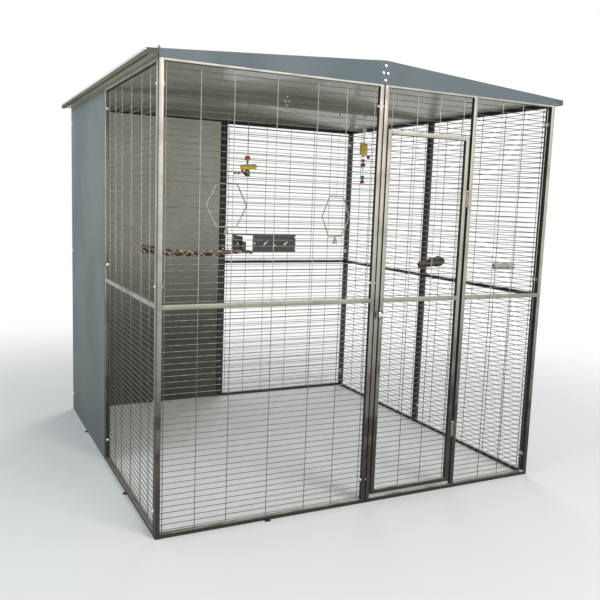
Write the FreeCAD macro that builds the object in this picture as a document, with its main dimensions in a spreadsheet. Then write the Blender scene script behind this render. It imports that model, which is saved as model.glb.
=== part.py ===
"""Walk-in bird aviary: eight bolted tube panels, welded mesh, a pitched roof and its fittings.

Millimetres, +Z up. The origin is on the floor in the middle of the whole aviary, +X is to the
right as a keeper stands in front of the door, and the front wall faces -Y.

Each wall panel is drawn in its own frame: X runs along the wall to the right as seen from
outside, Y runs inwards from the outer face of the tubes, and Z is up. stand() then turns
it onto its wall.
"""
import FreeCAD
import Part
import Sketcher

import math
import os
import re

SIZES = {
    # the cabin and its tube frames
    "cabin_width": (2000, "outside of the tubes, left to right"),
    "cabin_depth": (2000, "outside of the tubes, front to back"),
    "panel_height": (1915, "every wall panel"),
    "tube": (20, "side of the square tube"),
    "tube_wall": (1.5, "wall of the square tube"),
    "seam_gap": (5, "between two panels of one wall, filled by spacers"),
    # welded mesh
    "wire": (2, "thickness of a mesh wire"),
    "wire_spacing": (25, "from one level wire to the next"),
    "wire_lap": (8, "how far a level wire runs over the back of a stile"),
    "upright_inset": (33, "outermost upright wire from the panel's edge"),
    "upright_pair": (63, "half the distance between the two middle uprights of a narrow bay"),
    # sheet metal
    "sheet": (1, "skins of the two closed panels"),
    "gable_sheet": (2, "gable plates and truss plate"),
    "tab_sheet": (3, "corner tabs and ground tabs"),
    "edge_gap": (1, "between a sheet's edge and what stands beside it"),
    # roof
    "roof_rise": (68.5, "underside, from the side wall to the ridge"),
    "roof_thick": (22, "sandwich roof panel"),
    "roof_overhang": (50, "past the side walls and the back wall"),
    "fascia_lap": (10, "gable plates over the tops of the wall panels"),
    "eave_flange": (14, "of the edge channel, over and under the roof"),
    "eave_sheet": (1.5, "edge channel and ridge cap"),
    "ridge_cap_half": (60, "half the ridge cap's width"),
    # door
    "door_width": (452.5, "leaf"),
    "door_base": (37, "leaf above the floor"),
    "door_over": (178, "between the leaf and the top rail"),
    "door_proud": (0.5, "leaf in front of the wall, which clears its stop"),
    "latch_gap": (6, "between the leaf and the stile that it latches to"),
    "hinge_gap": (14, "between the leaf and the hinge post"),
    "stop_bar": (4, "thickness of the flat bar behind the leaf's top"),
    # lift-off hinges
    "hinge_radius": (6, "barrel"),
    "hinge_half": (32, "length of one half"),
    "hinge_pin": (3.45, "radius of the pin"),
    "hinge_bore": (3.5, "radius of the bore"),
    "hinge_round": (1.2, "bevel at the ends of the barrel"),
    "hinge_depth": (4, "axis behind the outer face"),
    "hinge_rise": (236, "foot of the lower hinge above the leaf's foot"),
    "hinge_drop": (320, "foot of the upper hinge below the leaf's top"),
    "hinge_roof": (3, "closed end of the upper half"),
    "hinge_lift": (0.3, "between the two halves"),
    "lug_half": (3, "half the thickness of a hinge lug"),
    # slide latch
    "latch_height": (893, "middle of the bolt"),
    "bolt_long": (34, "flat bolt"),
    "bolt_tall": (20, "flat bolt"),
    "bolt_thick": (3, "flat bolt"),
    "bolt_slack": (0.3, "play round the bolt"),
    "bolt_free": (1, "between the drawn bolt and the stile"),
    "strap_sheet": (2, "keeper and guide strap"),
    "strap_foot": (8, "their feet"),
    "strap_wide": (8, "guide strap"),
    "keeper_wide": (11, "keeper"),
    "keeper_inset": (3, "keeper from the outer edge of its stile"),
    "front_reach": (20, "knob in front of the wall"),
    "knob_stem": (3, "radius"),
    "knob_radius": (7, "radius"),
    "knob_thick": (5, "head of the knob"),
    # bolts
    "bolt_head": (7, "radius of a head, nut or spacer"),
    "head_thick": (4, "dome head"),
    "nut_thick": (8, "nut with the end of its bolt"),
    "gable_bolt": (6, "radius of a gable bolt's head"),
    "gable_spread": (11.5, "side bolts of the diamond from the middle"),
    "tab_tall": (18, "corner tab, which fits between two level wires"),
    "ground_tab_wide": (24, "tab for a ground screw"),
    "ground_tab_deep": (15, "tab for a ground screw"),
    "ground_hole": (3.5, "radius"),
    # feeder
    "feeder_left": (70, "its left edge from the cabin's middle"),
    "feeder_wide": (480, "frame of the three feeder doors"),
    "feeder_rise": (60, "its lower edge over the middle rail"),
    "feeder_tall": (125, "its height"),
    "feeder_bar": (8, "width of its bars"),
    "feeder_inset": (14, "its bars behind the outer face of the wall"),
    "feeder_deep": (30, "depth of its bars"),
    "feeder_plate": (2, "door plate"),
    "feeder_slack": (0.3, "round each door plate"),
    "bowl_radius": (52, "half-round cup"),
    "bowl_tall": (56, "half-round cup"),
    "bowl_wall": (1.5, "half-round cup"),
    "bowl_rise": (12, "cup above the lower edge of its plate"),
    "wing_radius": (7, "wing nut"),
    "wing_thick": (7, "wing nut"),
    # perches
    "perch_washer": (17, "radius of the washers that grip the mesh"),
    "perch_washer_thick": (2, "their thickness"),
    "perch_stud": (4, "radius of the stud"),
    "perch_nut": (9, "radius of the wing nut outside"),
    "perch_nut_thick": (10, "the same"),
    "pale_perch_y": (203, "behind the front wall"),
    "pale_perch_long": (120, "length"),
    "pale_perch_radius": (16.5, "radius"),
    "knobby_perch_y": (795, "behind the front wall"),
    "knobby_perch_long": (170, "length"),
    "knobby_perch_radius": (30, "at its thickest"),
    "vine_perch_y": (355, "behind the front wall"),
    "vine_perch_long": (530, "length"),
    "vine_perch_radius": (11, "stem at the wall"),
    "vine_twig": (4.5, "radius of the twigs wound round the stem"),
    # swings and toys
    "eye_thick": (3, "eye plate under the truss"),
    "eye_deep": (12, "eye plate"),
    "eye_tall": (14, "eye plate"),
    "eye_drop": (8, "its hole under the truss"),
    "swing_pin": (1.5, "radius"),
    "swing_play": (0.1, "round the pin"),
    "hanger": (2, "thickness of the hanger wire"),
    "hanger_side": (1, "between the eye plate and the hanger's legs"),
    "hanger_drop": (14, "foot of the shackle under its pin"),
    "swing_side": (135, "one stick of a swing, corner to corner"),
    "swing_stick": (4, "radius of a stick"),
    "stick_gap": (0.6, "between two sticks"),
    "swing_tassel": (7, "radius of the bead under a swing"),
    "swing_tassel_tall": (28, "the same"),
    "swing_left_x": (-343, "from the cabin's middle"),
    "swing_left_drop": (421, "top of its ring under its eye"),
    "swing_right_x": (341, "from the cabin's middle"),
    "swing_right_drop": (466, "top of its ring under its eye"),
    "toy_left_x": (-228, "from the cabin's middle"),
    "toy_left_drop": (266, "top of its first bead under its eye"),
    "toy_right_x": (510, "from the cabin's middle"),
    "toy_right_drop": (67, "top of its clip under its eye"),
    "toy_bead": (16, "radius of a large bead"),
    "toy_roll_long": (90, "lying roll"),
    "toy_block": (65, "standing block"),
    "toy_block_wide": (44, "standing block"),
    "toy_chip": (24, "small block"),
    "toy_pearl": (6, "radius of a small bead"),
    "toy_string": (16, "string between two beads"),
}

# Lengths that follow from the sheet, in its own words.
DERIVED = {
    "half_width": "(cabin_width / 2)",
    "front_y": "(front_reach - (cabin_depth + front_reach + roof_overhang) / 2)",
    "back_y": "(front_y + cabin_depth)",
    "middle_y": "(front_y + cabin_depth / 2)",
    "front_panel": "((cabin_width - seam_gap) / 2)",
    "side_start": "(tube + wire)",
    "side_panel": "((cabin_depth - 2 * side_start - seam_gap) / 2)",
    "rail_step": "((panel_height - tube) / 2)",
    "door_left": "(tube + latch_gap)",
    "post_left": "(door_left + door_width + hinge_gap)",
    "door_top": "(panel_height - tube - door_over)",
    "door_height": "(door_top - door_base)",
    "hinge_along": "(post_left - hinge_gap / 2)",
    "hinge_low": "(door_base + hinge_rise)",
    "hinge_spacing": "(door_top - hinge_drop - hinge_low)",
    "fascia_low": "(panel_height - fascia_lap)",
    "eave_x": "(half_width + roof_overhang - eave_sheet)",
    "swing_apothem": "(swing_side * 0.8660254)",
    "eye_z": "(fascia_low - eye_drop)",
    "feeder_from": "(half_width - feeder_left - feeder_wide)",
    "feeder_low": "(rail_step + tube + feeder_rise)",
    "feeder_bay": "((feeder_wide - feeder_bar) / 3)",
    "feeder_door_wide": "(feeder_bay - feeder_bar - 2 * feeder_slack)",
    "feeder_door_tall": "(feeder_tall - 2 * feeder_bar - 2 * feeder_slack)",
}

# Upright wires of a panel, as shares of the way from its middle to its outermost ones.
UPRIGHT_SHARES = (-1, -0.7, -0.4, 0, 0.4, 0.7, 1)
# Bolt heights along a stile, as shares of the panel's height.
BOLT_SHARES = (0.055, 0.54, 0.95)
# The diamond of gable bolts: sideways in spreads, and upwards as shares of the plate's height.
DIAMOND_SHARES = ((0, 0.78), (-1, 0.47), (1, 0.47), (0, 0.17))
# Heights of the perches, as shares of the panel's height.
PERCH_SHARES = {"pale": 0.567, "knobby": 0.554, "vine": 0.61}

WALLS = {"front": 0, "right": 90, "back": 180, "left": -90}

doc = FreeCAD.newDocument("Aviary")
sheet = doc.addObject("Spreadsheet::Sheet", "Sizes")
for row, (alias, (value, note)) in enumerate(SIZES.items(), start=1):
    sheet.set("A%d" % row, alias)
    sheet.set("B%d" % row, str(value))
    sheet.set("C%d" % row, note)
    sheet.setAlias("B%d" % row, alias)
doc.recompute()

NODES = []


def tie(text):
    """Turns a length in the sheet's words into an expression on its cells."""
    def swap(found):
        word = found.group(0)
        if word in DERIVED:
            return tie(DERIVED[word])
        return "Sizes." + word if word in SIZES else word
    return re.sub(r"[a-z_]+[a-z]", swap, text)


def bind(thing, **lengths):
    """Binds properties of an object to lengths."""
    for name, text in lengths.items():
        thing.setExpression(name, tie(text))
    return thing


def place(thing, x="0", y="0", z="0", turn=0, about=(0, 0, 1)):
    """Turns an object and binds where it stands."""
    turned = FreeCAD.Rotation(FreeCAD.Vector(*about), turn)
    thing.Placement = FreeCAD.Placement(FreeCAD.Vector(0, 0, 0), turned)
    for axis, text in zip("xyz", (x, y, z)):
        if text != "0":
            thing.setExpression("Placement.Base." + axis, tie(text))
    return thing


def stand(thing, wall, along="0"):
    """Puts something drawn in a panel's frame onto its wall, `along` from the wall's left end."""
    spots = {
        "front": ("-half_width + (%s)" % along, "front_y"),
        "right": ("half_width", "front_y + (%s)" % along),
        "back": ("half_width - (%s)" % along, "back_y"),
        "left": ("-half_width", "back_y - (%s)" % along),
    }
    return place(thing, *spots[wall], turn=WALLS[wall])


def between_wires(share):
    """The height midway between two level wires that is nearest to a share of the panel's."""
    return "((floor(%g * panel_height / wire_spacing) + 0.5) * wire_spacing)" % share


def node(thing, label):
    """Names a sub-part and keeps it for the export."""
    thing.Label = label
    NODES.append(thing)
    return thing


def join(label, *things):
    """A sub-part of several solids that stay separate."""
    group = doc.addObject("Part::Compound", label)
    group.Links = list(things)
    return node(group, label)


def group(*things):
    """Solids that are placed together but are not yet a sub-part."""
    bundle = doc.addObject("Part::Compound", "Group")
    bundle.Links = list(things)
    return bundle


def box(x, y, z, length, width, height):
    """A block with one corner at x, y, z."""
    block = bind(doc.addObject("Part::Box", "Block"), Length=length, Width=width, Height=height)
    return place(block, x, y, z)


def rod(radius, length, x="0", y="0", z="0", turn=0, about=(0, 0, 1)):
    """A round bar, which points up until it is turned."""
    bar = bind(doc.addObject("Part::Cylinder", "Rod"), Radius=radius, Height=length)
    return place(bar, x, y, z, turn, about)


def prism(sides, radius, length, x="0", y="0", z="0", turn=0, about=(0, 0, 1)):
    """A bar with flat sides, which points up until it is turned."""
    bar = bind(doc.addObject("Part::Prism", "Prism"), Circumradius=radius, Height=length)
    bar.Polygon = sides
    return place(bar, x, y, z, turn, about)


def cut(base, tool):
    """The base less the tool."""
    result = doc.addObject("Part::Cut", "Cut")
    result.Base = base
    result.Tool = tool
    return result


def fuse(*things):
    """One solid of several that are welded or moulded together."""
    result = doc.addObject("Part::MultiFuse", "Fusion")
    result.Shapes = list(things)
    return result


def new_body(label):
    """A body that may hold several solids, as a row of wires does."""
    body = doc.addObject("PartDesign::Body", label)
    body.AllowCompound = True
    return body


def origin_item(body, role):
    """A plane or an axis of the body's own origin."""
    return next(item for item in body.Origin.OriginFeatures if item.Role == role)


def sketch_on(body, role, depth="0"):
    """A sketch on an origin plane, moved along its normal by depth."""
    sketch = body.newObject("Sketcher::SketchObject", "Section")
    sketch.AttachmentSupport = [(origin_item(body, role), "")]
    sketch.MapMode = "FlatFace"
    if depth != "0":
        sketch.setExpression("AttachmentOffset.Base.z", tie(depth))
    return sketch


def outline(sketch, points):
    """Draws a closed polygon whose corners are held by lengths from the sketch's origin."""
    first = sketch.GeometryCount
    count = len(points)
    spots = []
    for k in range(count):
        angle = 2 * math.pi * k / count
        spots.append(FreeCAD.Vector(math.cos(angle), math.sin(angle), 0))
    for k in range(count):
        sketch.addGeometry(Part.LineSegment(spots[k], spots[(k + 1) % count]))
    for k in range(count):
        following = first + (k + 1) % count
        sketch.addConstraint(Sketcher.Constraint("Coincident", first + k, 2, following, 1))
    for k, (x, y) in enumerate(points):
        for kind, axis, text in (("DistanceX", -2, x), ("DistanceY", -1, y)):
            if text == "0":
                sketch.addConstraint(Sketcher.Constraint("PointOnObject", first + k, 1, axis))
                continue
            rule = sketch.addConstraint(Sketcher.Constraint(kind, -1, 1, first + k, 1, 1.0))
            sketch.setExpression("Constraints[%d]" % rule, tie(text))


def rectangle(sketch, x, y, wide, tall):
    """Draws a rectangle with one corner at x, y."""
    right = "(%s) + (%s)" % (x, wide)
    top = "(%s) + (%s)" % (y, tall)
    outline(sketch, [(x, y), (right, y), (right, top), (x, top)])


def tube_section(sketch, x, y):
    """Draws the square tube: its outside and its bore."""
    rectangle(sketch, x, y, "tube", "tube")
    inner = "tube - 2 * tube_wall"
    rectangle(sketch, "(%s) + tube_wall" % x, "(%s) + tube_wall" % y, inner, inner)


def pad(body, sketch, length, flipped=False):
    """Pads a sketch along its normal."""
    feature = body.newObject("PartDesign::Pad", "Pad")
    feature.Profile = sketch
    feature.Reversed = flipped
    feature.setExpression("Length", tie(length))
    sketch.Visibility = False
    return feature


def repeat(body, features, role, length, count):
    """Repeats features along an axis; length is from the first copy to the last."""
    pattern = body.newObject("PartDesign::LinearPattern", "Row")
    pattern.Originals = features
    pattern.Direction = (origin_item(body, role), [""])
    pattern.setExpression("Length", tie(length))
    pattern.setExpression("Occurrences", tie(count))
    body.Tip = pattern
    return body


def extrusion(label, role, depth, points, length, flipped=False):
    """A body with one padded polygon."""
    body = new_body(label)
    sketch = sketch_on(body, role, depth)
    outline(sketch, points)
    pad(body, sketch, length, flipped)
    return body


# ---- wall frames

def stiles(places, low, length, depth="0"):
    """Standing tubes at these places along a panel."""
    body = new_body("Stiles")
    sketch = sketch_on(body, "XY_Plane", low)
    for along in places:
        tube_section(sketch, along, depth)
    pad(body, sketch, length)
    return body


def rails(heights, start, length, depth="0"):
    """Level tubes at these heights of a panel."""
    body = new_body("Rails")
    sketch = sketch_on(body, "YZ_Plane", start)
    for low in heights:
        tube_section(sketch, depth, low)
    pad(body, sketch, length)
    return body


def panel_frame(label, width, wall, along):
    """A welded frame: two stiles with three rails between them."""
    standing = stiles(("0", "%s - tube" % width), "0", "panel_height")
    level = rails(("0", "rail_step", "2 * rail_step"), "tube", "%s - 2 * tube" % width)
    return stand(join(label, standing, level), wall, along)


# ---- welded mesh

def level_wires(start, length, first, count, depth="tube"):
    """Level wires, the first one `first` rows above the floor."""
    body = new_body("LevelWires")
    sketch = sketch_on(body, "YZ_Plane", start)
    rectangle(sketch, depth, "%s * wire_spacing - wire / 2" % first, "wire", "wire")
    feature = pad(body, sketch, length)
    return repeat(body, [feature], "Z_Axis", "wire_spacing * (%s - 1)" % count, count)


def upright_wires(places, low, length, depth="tube - wire"):
    """Upright wires at these places, in front of the level ones and between two rails."""
    body = new_body("UprightWires")
    sketch = sketch_on(body, "XY_Plane", low)
    for along in places:
        rectangle(sketch, "%s - wire / 2" % along, depth, "wire", "wire")
    pad(body, sketch, length)
    return body


def upright_places(width, shares=UPRIGHT_SHARES):
    """Where the upright wires of a full panel stand."""
    reach = "((%s) / 2 - upright_inset)" % width
    return ["(%s) / 2 + (%g) * %s" % (width, share, reach) for share in shares]


def both_bays(body_wires):
    """Repeats the wires of the lower bay in the upper one."""
    feature = body_wires.Tip
    return repeat(body_wires, [feature], "Z_Axis", "rail_step", "2")


ROWS = "floor((panel_height - tube) / wire_spacing)"
LOW_BAY = ("tube", "rail_step - tube")


def panel_mesh(label, width, wall, along):
    """The mesh of a full panel."""
    level = level_wires("tube - wire_lap", "%s - 2 * (tube - wire_lap)" % width, "1", ROWS)
    upright = both_bays(upright_wires(upright_places(width), *LOW_BAY))
    return stand(join(label, level, upright), wall, along)


FULL_PANELS = {
    "front_left": ("front_panel", "front", "0"),
    "right_front": ("side_panel", "right", "side_start"),
    "right_back": ("side_panel", "right", "side_start + side_panel + seam_gap"),
    "back_right": ("front_panel", "back", "0"),
    "back_left": ("front_panel", "back", "front_panel + seam_gap"),
    "left_back": ("side_panel", "left", "side_start"),
    "left_front": ("side_panel", "left", "side_start + side_panel + seam_gap"),
}
for name, (width, wall, along) in FULL_PANELS.items():
    panel_frame(name + "_frame", width, wall, along)
for name in ("front_left", "right_front", "right_back", "left_front"):
    panel_mesh(name + "_mesh", *FULL_PANELS[name])

# ---- the front right panel: a door bay and a fixed bay

DOOR_WALL = ("front", "front_panel + seam_gap")
BAY_LEFT = "post_left + tube"
BAY_WIDE = "front_panel - post_left - 2 * tube"
posts = stiles(("0", "post_left", "front_panel - tube"), "0", "panel_height")
door_bay_rails = rails(("0", "2 * rail_step"), "tube", "post_left - tube")
fixed_bay_rails = rails(("0", "rail_step", "2 * rail_step"), BAY_LEFT, BAY_WIDE)
stop = box("tube - wire_lap", "tube", "door_top - tube",
           "post_left - tube + 2 * wire_lap", "stop_bar", "tube")
stand(join("front_right_frame", posts, door_bay_rails, fixed_bay_rails, stop), *DOOR_WALL)

DOOR_MIDDLE = "door_left + door_width / 2"
DOOR_UPRIGHTS = ["door_left + tube + wire_lap", "%s - upright_pair" % DOOR_MIDDLE,
                 "%s + upright_pair" % DOOR_MIDDLE, "door_left + door_width - tube - wire_lap"]
BAY_MIDDLE = "post_left + tube + (%s) / 2" % BAY_WIDE
BAY_UPRIGHTS = ["post_left + tube + wire_lap", "%s - upright_pair" % BAY_MIDDLE,
                "%s + upright_pair" % BAY_MIDDLE, "front_panel - tube - wire_lap"]
OVER_FIRST = "ceil(door_top / wire_spacing)"
over_door = group(
    level_wires("tube - wire_lap", "post_left - tube + 2 * wire_lap", OVER_FIRST,
                ROWS + " - " + OVER_FIRST + " + 1"),
    upright_wires(DOOR_UPRIGHTS, "door_top + edge_gap",
                  "panel_height - tube - door_top - edge_gap"))
bay_level = level_wires("%s - wire_lap" % BAY_LEFT, "%s + 2 * wire_lap" % BAY_WIDE, "1", ROWS)
bay_upright = both_bays(upright_wires(BAY_UPRIGHTS, *LOW_BAY))
stand(join("front_right_mesh", over_door, bay_level, bay_upright), *DOOR_WALL)

# ---- the door

LEAF = "-door_proud"
leaf_stiles = stiles(("door_left", "door_left + door_width - tube"), "door_base",
                     "door_height", LEAF)
leaf_rails = rails(("door_base", "rail_step", "door_top - tube"), "door_left + tube",
                   "door_width - 2 * tube", LEAF)
stand(join("door_frame", leaf_stiles, leaf_rails), *DOOR_WALL)
DOOR_FIRST = "ceil((door_base + tube) / wire_spacing)"
DOOR_ROWS = "floor((door_top - tube) / wire_spacing) - %s + 1" % DOOR_FIRST
leaf_level = level_wires("door_left + tube - wire_lap", "door_width - 2 * (tube - wire_lap)",
                         DOOR_FIRST, DOOR_ROWS, "tube - door_proud")
leaf_low = upright_wires(DOOR_UPRIGHTS, "door_base + tube", "rail_step - door_base - tube",
                         "tube - wire - door_proud")
leaf_high = upright_wires(DOOR_UPRIGHTS, "rail_step + tube",
                          "door_top - rail_step - 2 * tube", "tube - wire - door_proud")
stand(join("door_mesh", leaf_level, leaf_low, leaf_high), *DOOR_WALL)

# ---- the back right panel, whose mesh leaves out the feeder frame

BACK = FULL_PANELS["back_right"]
CUT_FIRST = "ceil(feeder_low / wire_spacing)"
CUT_NEXT = "ceil((feeder_low + feeder_tall) / wire_spacing)"
FEEDER_END = "(feeder_from + feeder_wide)"
WIRE_FROM = "tube - wire_lap"
WIRE_LONG = "front_panel - 2 * (tube - wire_lap)"
back_rows = group(
    level_wires(WIRE_FROM, WIRE_LONG, "1", CUT_FIRST + " - 1"),
    level_wires(WIRE_FROM, WIRE_LONG, CUT_NEXT, ROWS + " - " + CUT_NEXT + " + 1"),
    level_wires(WIRE_FROM, "feeder_from - tube + wire_lap", CUT_FIRST,
                CUT_NEXT + " - " + CUT_FIRST),
    level_wires(FEEDER_END, "front_panel - tube + wire_lap - " + FEEDER_END, CUT_FIRST,
                CUT_NEXT + " - " + CUT_FIRST))
full_uprights = both_bays(upright_wires(upright_places(BACK[0], (-1, -0.7, -0.4, 1)), *LOW_BAY))
cut_places = upright_places(BACK[0], (0, 0.4, 0.7))
cut_low = upright_wires(cut_places, *LOW_BAY)
cut_middle = upright_wires(cut_places, "rail_step + tube", "feeder_low - rail_step - tube")
cut_high = upright_wires(cut_places, "feeder_low + feeder_tall",
                         "2 * rail_step - feeder_low - feeder_tall")
stand(join("back_right_mesh", back_rows, full_uprights, cut_low, cut_middle, cut_high),
      *BACK[1:])

# ---- closed panels: a skin outside over the whole frame, and one inside on the rails

for name, overlap in (("left_back", "side_start"), ("back_left", "0")):
    width, wall, along = FULL_PANELS[name]
    outer = box("-(%s)" % overlap, "-sheet", "0", "%s + %s" % (width, overlap), "sheet",
                "fascia_low")
    stand(join(name + "_outer_sheet", outer), wall, along)
    inset = "tube + tab_sheet + edge_gap"
    inner = box(inset, "tube", "0", "%s - 2 * (%s)" % (width, inset), "sheet", "fascia_low")
    stand(join(name + "_inner_sheet", inner), wall, along)

# ---- roof

def under(x):
    """Height of the roof's underside, x from the middle."""
    return "(panel_height + roof_rise * (1 - (%s) / half_width))" % x


def over(x):
    """Height of the roof's top."""
    return under(x) + " + roof_thick"


def across(points, length, start, label):
    """Pads a polygon drawn across the cabin, from start towards the back."""
    return extrusion(label, "XZ_Plane", "-(%s)" % start, points, length, flipped=True)


ROOF_LONG = "cabin_depth + roof_overhang"
for side, sign in (("left", "-"), ("right", "")):
    end = sign + "eave_x"
    slab = [("0", under("0")), (end, under("eave_x")), (end, over("eave_x")), ("0", over("0"))]
    node(across(slab, ROOF_LONG, "front_y", "RoofPanel"), "roof_%s_panel" % side)
    tip = "eave_x + eave_sheet"
    back = "eave_x - eave_flange"
    channel = [
        (sign + "(%s)" % back, under(back)), (end, under("eave_x")),
        (end, over("eave_x")), (sign + "(%s)" % back, over(back)),
        (sign + "(%s)" % back, over(back) + " + eave_sheet"),
        (sign + "(%s)" % tip, over(tip) + " + eave_sheet"),
        (sign + "(%s)" % tip, under(tip) + " - eave_sheet"),
        (sign + "(%s)" % back, under(back) + " - eave_sheet"),
    ]
    node(across(channel, ROOF_LONG, "front_y", "EaveChannel"), "roof_%s_edge" % side)

cap = [("-ridge_cap_half", over("ridge_cap_half")), ("0", over("0")),
       ("ridge_cap_half", over("ridge_cap_half")),
       ("ridge_cap_half", over("ridge_cap_half") + " + eave_sheet"),
       ("0", over("0") + " + eave_sheet"),
       ("-ridge_cap_half", over("ridge_cap_half") + " + eave_sheet")]
node(across(cap, ROOF_LONG, "front_y", "RidgeCap"), "ridge_cap")


def gable(label, reach, top, start):
    """A gable-shaped plate from the fascia's lower edge up to the roof."""
    points = [("-(%s)" % reach, "fascia_low"), (reach, "fascia_low"), (reach, top(reach)),
              ("0", top("0")), ("-(%s)" % reach, top(reach))]
    return node(across(points, "gable_sheet", start, "Gable"), label)


gable("front_fascia", "half_width", over, "front_y - gable_sheet")
gable("mid_truss", "half_width - tube", under, "middle_y - gable_sheet / 2")
gable("back_fascia", "half_width", under, "back_y")

gable_bolts = []
for face, roof_top, out in (("front_y - gable_sheet", over("0"), -1),
                            ("middle_y - gable_sheet / 2", under("0"), -1),
                            ("back_y + gable_sheet", under("0"), 1)):
    for spread, share in DIAMOND_SHARES:
        height = "fascia_low + %g * (%s - fascia_low)" % (share, roof_top)
        gable_bolts.append(prism(8, "gable_bolt", "head_thick", "%d * gable_spread" % spread,
                                 face, height, -90 * out, (1, 0, 0)))
join("gable_bolts", *gable_bolts)

# ---- bolts that hold the panels together

seam_bolts = []
seam_spacers = []
for wall in WALLS:
    middle = "cabin_width / 2" if wall in ("front", "back") else "cabin_depth / 2"
    heads = []
    spacers = []
    for share in BOLT_SHARES:
        spot = ("tube / 2", between_wires(share))
        heads.append(prism(6, "bolt_head", "head_thick", "-(seam_gap / 2 + tube + head_thick)",
                           *spot, 90, (0, 1, 0)))
        heads.append(prism(6, "bolt_head", "head_thick", "seam_gap / 2 + tube", *spot, 90,
                           (0, 1, 0)))
        spacers.append(prism(8, "bolt_head", "seam_gap", "-seam_gap / 2", *spot, 90, (0, 1, 0)))
    seam_bolts.append(stand(group(*heads), wall, middle))
    seam_spacers.append(stand(group(*spacers), wall, middle))
join("seam_bolts", *seam_bolts)
join("seam_spacers", *seam_spacers)

corner_bolts = []
corner_tabs = []
for left in (True, False):
    for front in (True, False):
        side = "-" if left else ""
        inward = 1 if left else -1
        clad = " + sheet" if left and not front else ""
        middle = "front_y + side_start + tube / 2" if front else "back_y - side_start - tube / 2"
        tab_from = "front_y + tube / 2" if front else "back_y - side_start - tube"
        for share in BOLT_SHARES:
            height = between_wires(share)
            corner_bolts.append(prism(6, "bolt_head", "head_thick",
                                      side + "(half_width%s)" % clad, middle, height,
                                      -90 * inward, (0, 1, 0)))
            corner_bolts.append(prism(6, "bolt_head", "nut_thick",
                                      side + "(half_width - tube - tab_sheet)", middle, height,
                                      90 * inward, (0, 1, 0)))
            tab_x = "-half_width + tube" if left else "half_width - tube - tab_sheet"
            corner_tabs.append(box(tab_x, tab_from, height + " - tab_tall / 2", "tab_sheet",
                                   "tube / 2 + side_start", "tab_tall"))
join("corner_bolts", *corner_bolts)
join("corner_tabs", *corner_tabs)

ground_tabs = []
for width, wall, along in FULL_PANELS.values():
    plate = box("(%s - ground_tab_wide) / 2" % width, "-ground_tab_deep", "0",
                "ground_tab_wide", "ground_tab_deep", "tab_sheet")
    if wall == "left" and along == "side_start" or wall == "back" and along != "0":
        bind(plate, **{"Placement.Base.y": "-ground_tab_deep - sheet"})
    hole = prism(8, "ground_hole", "tab_sheet", "(%s) / 2" % width, "-ground_tab_deep / 2")
    ground_tabs.append(stand(cut(plate, hole), wall, along))
join("ground_tabs", *ground_tabs)

# ---- lift-off hinges

def turned(body, points):
    """Revolves a profile, drawn as radius and height, about Z."""
    sketch = sketch_on(body, "XZ_Plane")
    outline(sketch, points)
    feature = body.newObject("PartDesign::Revolution", "Turned")
    feature.Profile = sketch
    feature.ReferenceAxis = (sketch, ["V_Axis"])
    feature.Angle = 360
    sketch.Visibility = False
    return feature


def hinge_lug(body, start, sign):
    """The lug that is welded to the tube beside the barrel."""
    sketch = sketch_on(body, "XY_Plane", start)
    near = sign + "(hinge_radius * 0.75)"
    far = sign + "(hinge_gap / 2)"
    outline(sketch, [(near, "-lug_half"), (far, "-lug_half"), (far, "lug_half"),
                     (near, "lug_half")])
    return pad(body, sketch, "hinge_half - 2 * hinge_round")


def hinge(label, points, lug_start, sign):
    """Both hinges' copies of one half."""
    body = new_body(label)
    features = [turned(body, points), hinge_lug(body, lug_start, sign)]
    repeat(body, features, "Z_Axis", "hinge_spacing", "2")
    place(body, "-half_width + front_panel + seam_gap + hinge_along", "front_y + hinge_depth",
          "hinge_low")
    return node(body, label)


PIN_TOP = "2 * hinge_half - hinge_roof - hinge_lift"
hinge("hinge_post_halves",
      [("0", "0"), ("hinge_radius - hinge_round", "0"), ("hinge_radius", "hinge_round"),
       ("hinge_radius", "hinge_half"), ("hinge_pin", "hinge_half"),
       ("hinge_pin", PIN_TOP), ("0", PIN_TOP)], "hinge_round", "")
UPPER = "hinge_half + hinge_lift"
TOP = "2 * hinge_half + hinge_lift"
hinge("hinge_door_halves",
      [("hinge_bore", UPPER), ("hinge_radius", UPPER), ("hinge_radius", TOP + " - hinge_round"),
       ("hinge_radius - hinge_round", TOP), ("0", TOP), ("0", TOP + " - hinge_roof"),
       ("hinge_bore", TOP + " - hinge_roof")], UPPER + " + hinge_round", "-")

# ---- slide latch

GUIDE_DEEP = "(bolt_thick + 2 * bolt_slack)"
KEEPER_DEEP = "(bolt_thick + 2 * bolt_slack + door_proud)"


def strap(label, start, wide, face, deep):
    """A hat-shaped strap over the flat bolt."""
    inner = "(bolt_tall / 2 + bolt_slack)"
    outer = "(bolt_tall / 2 + bolt_slack + strap_sheet)"
    foot = "(bolt_tall / 2 + bolt_slack + strap_sheet + strap_foot)"
    skin = "%s - strap_sheet" % face
    inside = "%s - %s" % (face, deep)
    outside = "%s - %s - strap_sheet" % (face, deep)
    upper = [(face, foot), (skin, foot), (skin, outer), (outside, outer)]
    lower = [(outside, "-" + outer), (skin, "-" + outer), (skin, "-" + foot), (face, "-" + foot)]
    hollow = [(face, "-" + inner), (inside, "-" + inner), (inside, inner), (face, inner)]
    shape = extrusion(label, "YZ_Plane", start, upper + lower + hollow, wide)
    stand(shape, *DOOR_WALL)
    shape.setExpression("Placement.Base.z", tie("latch_height"))
    return node(shape, label)


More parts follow.
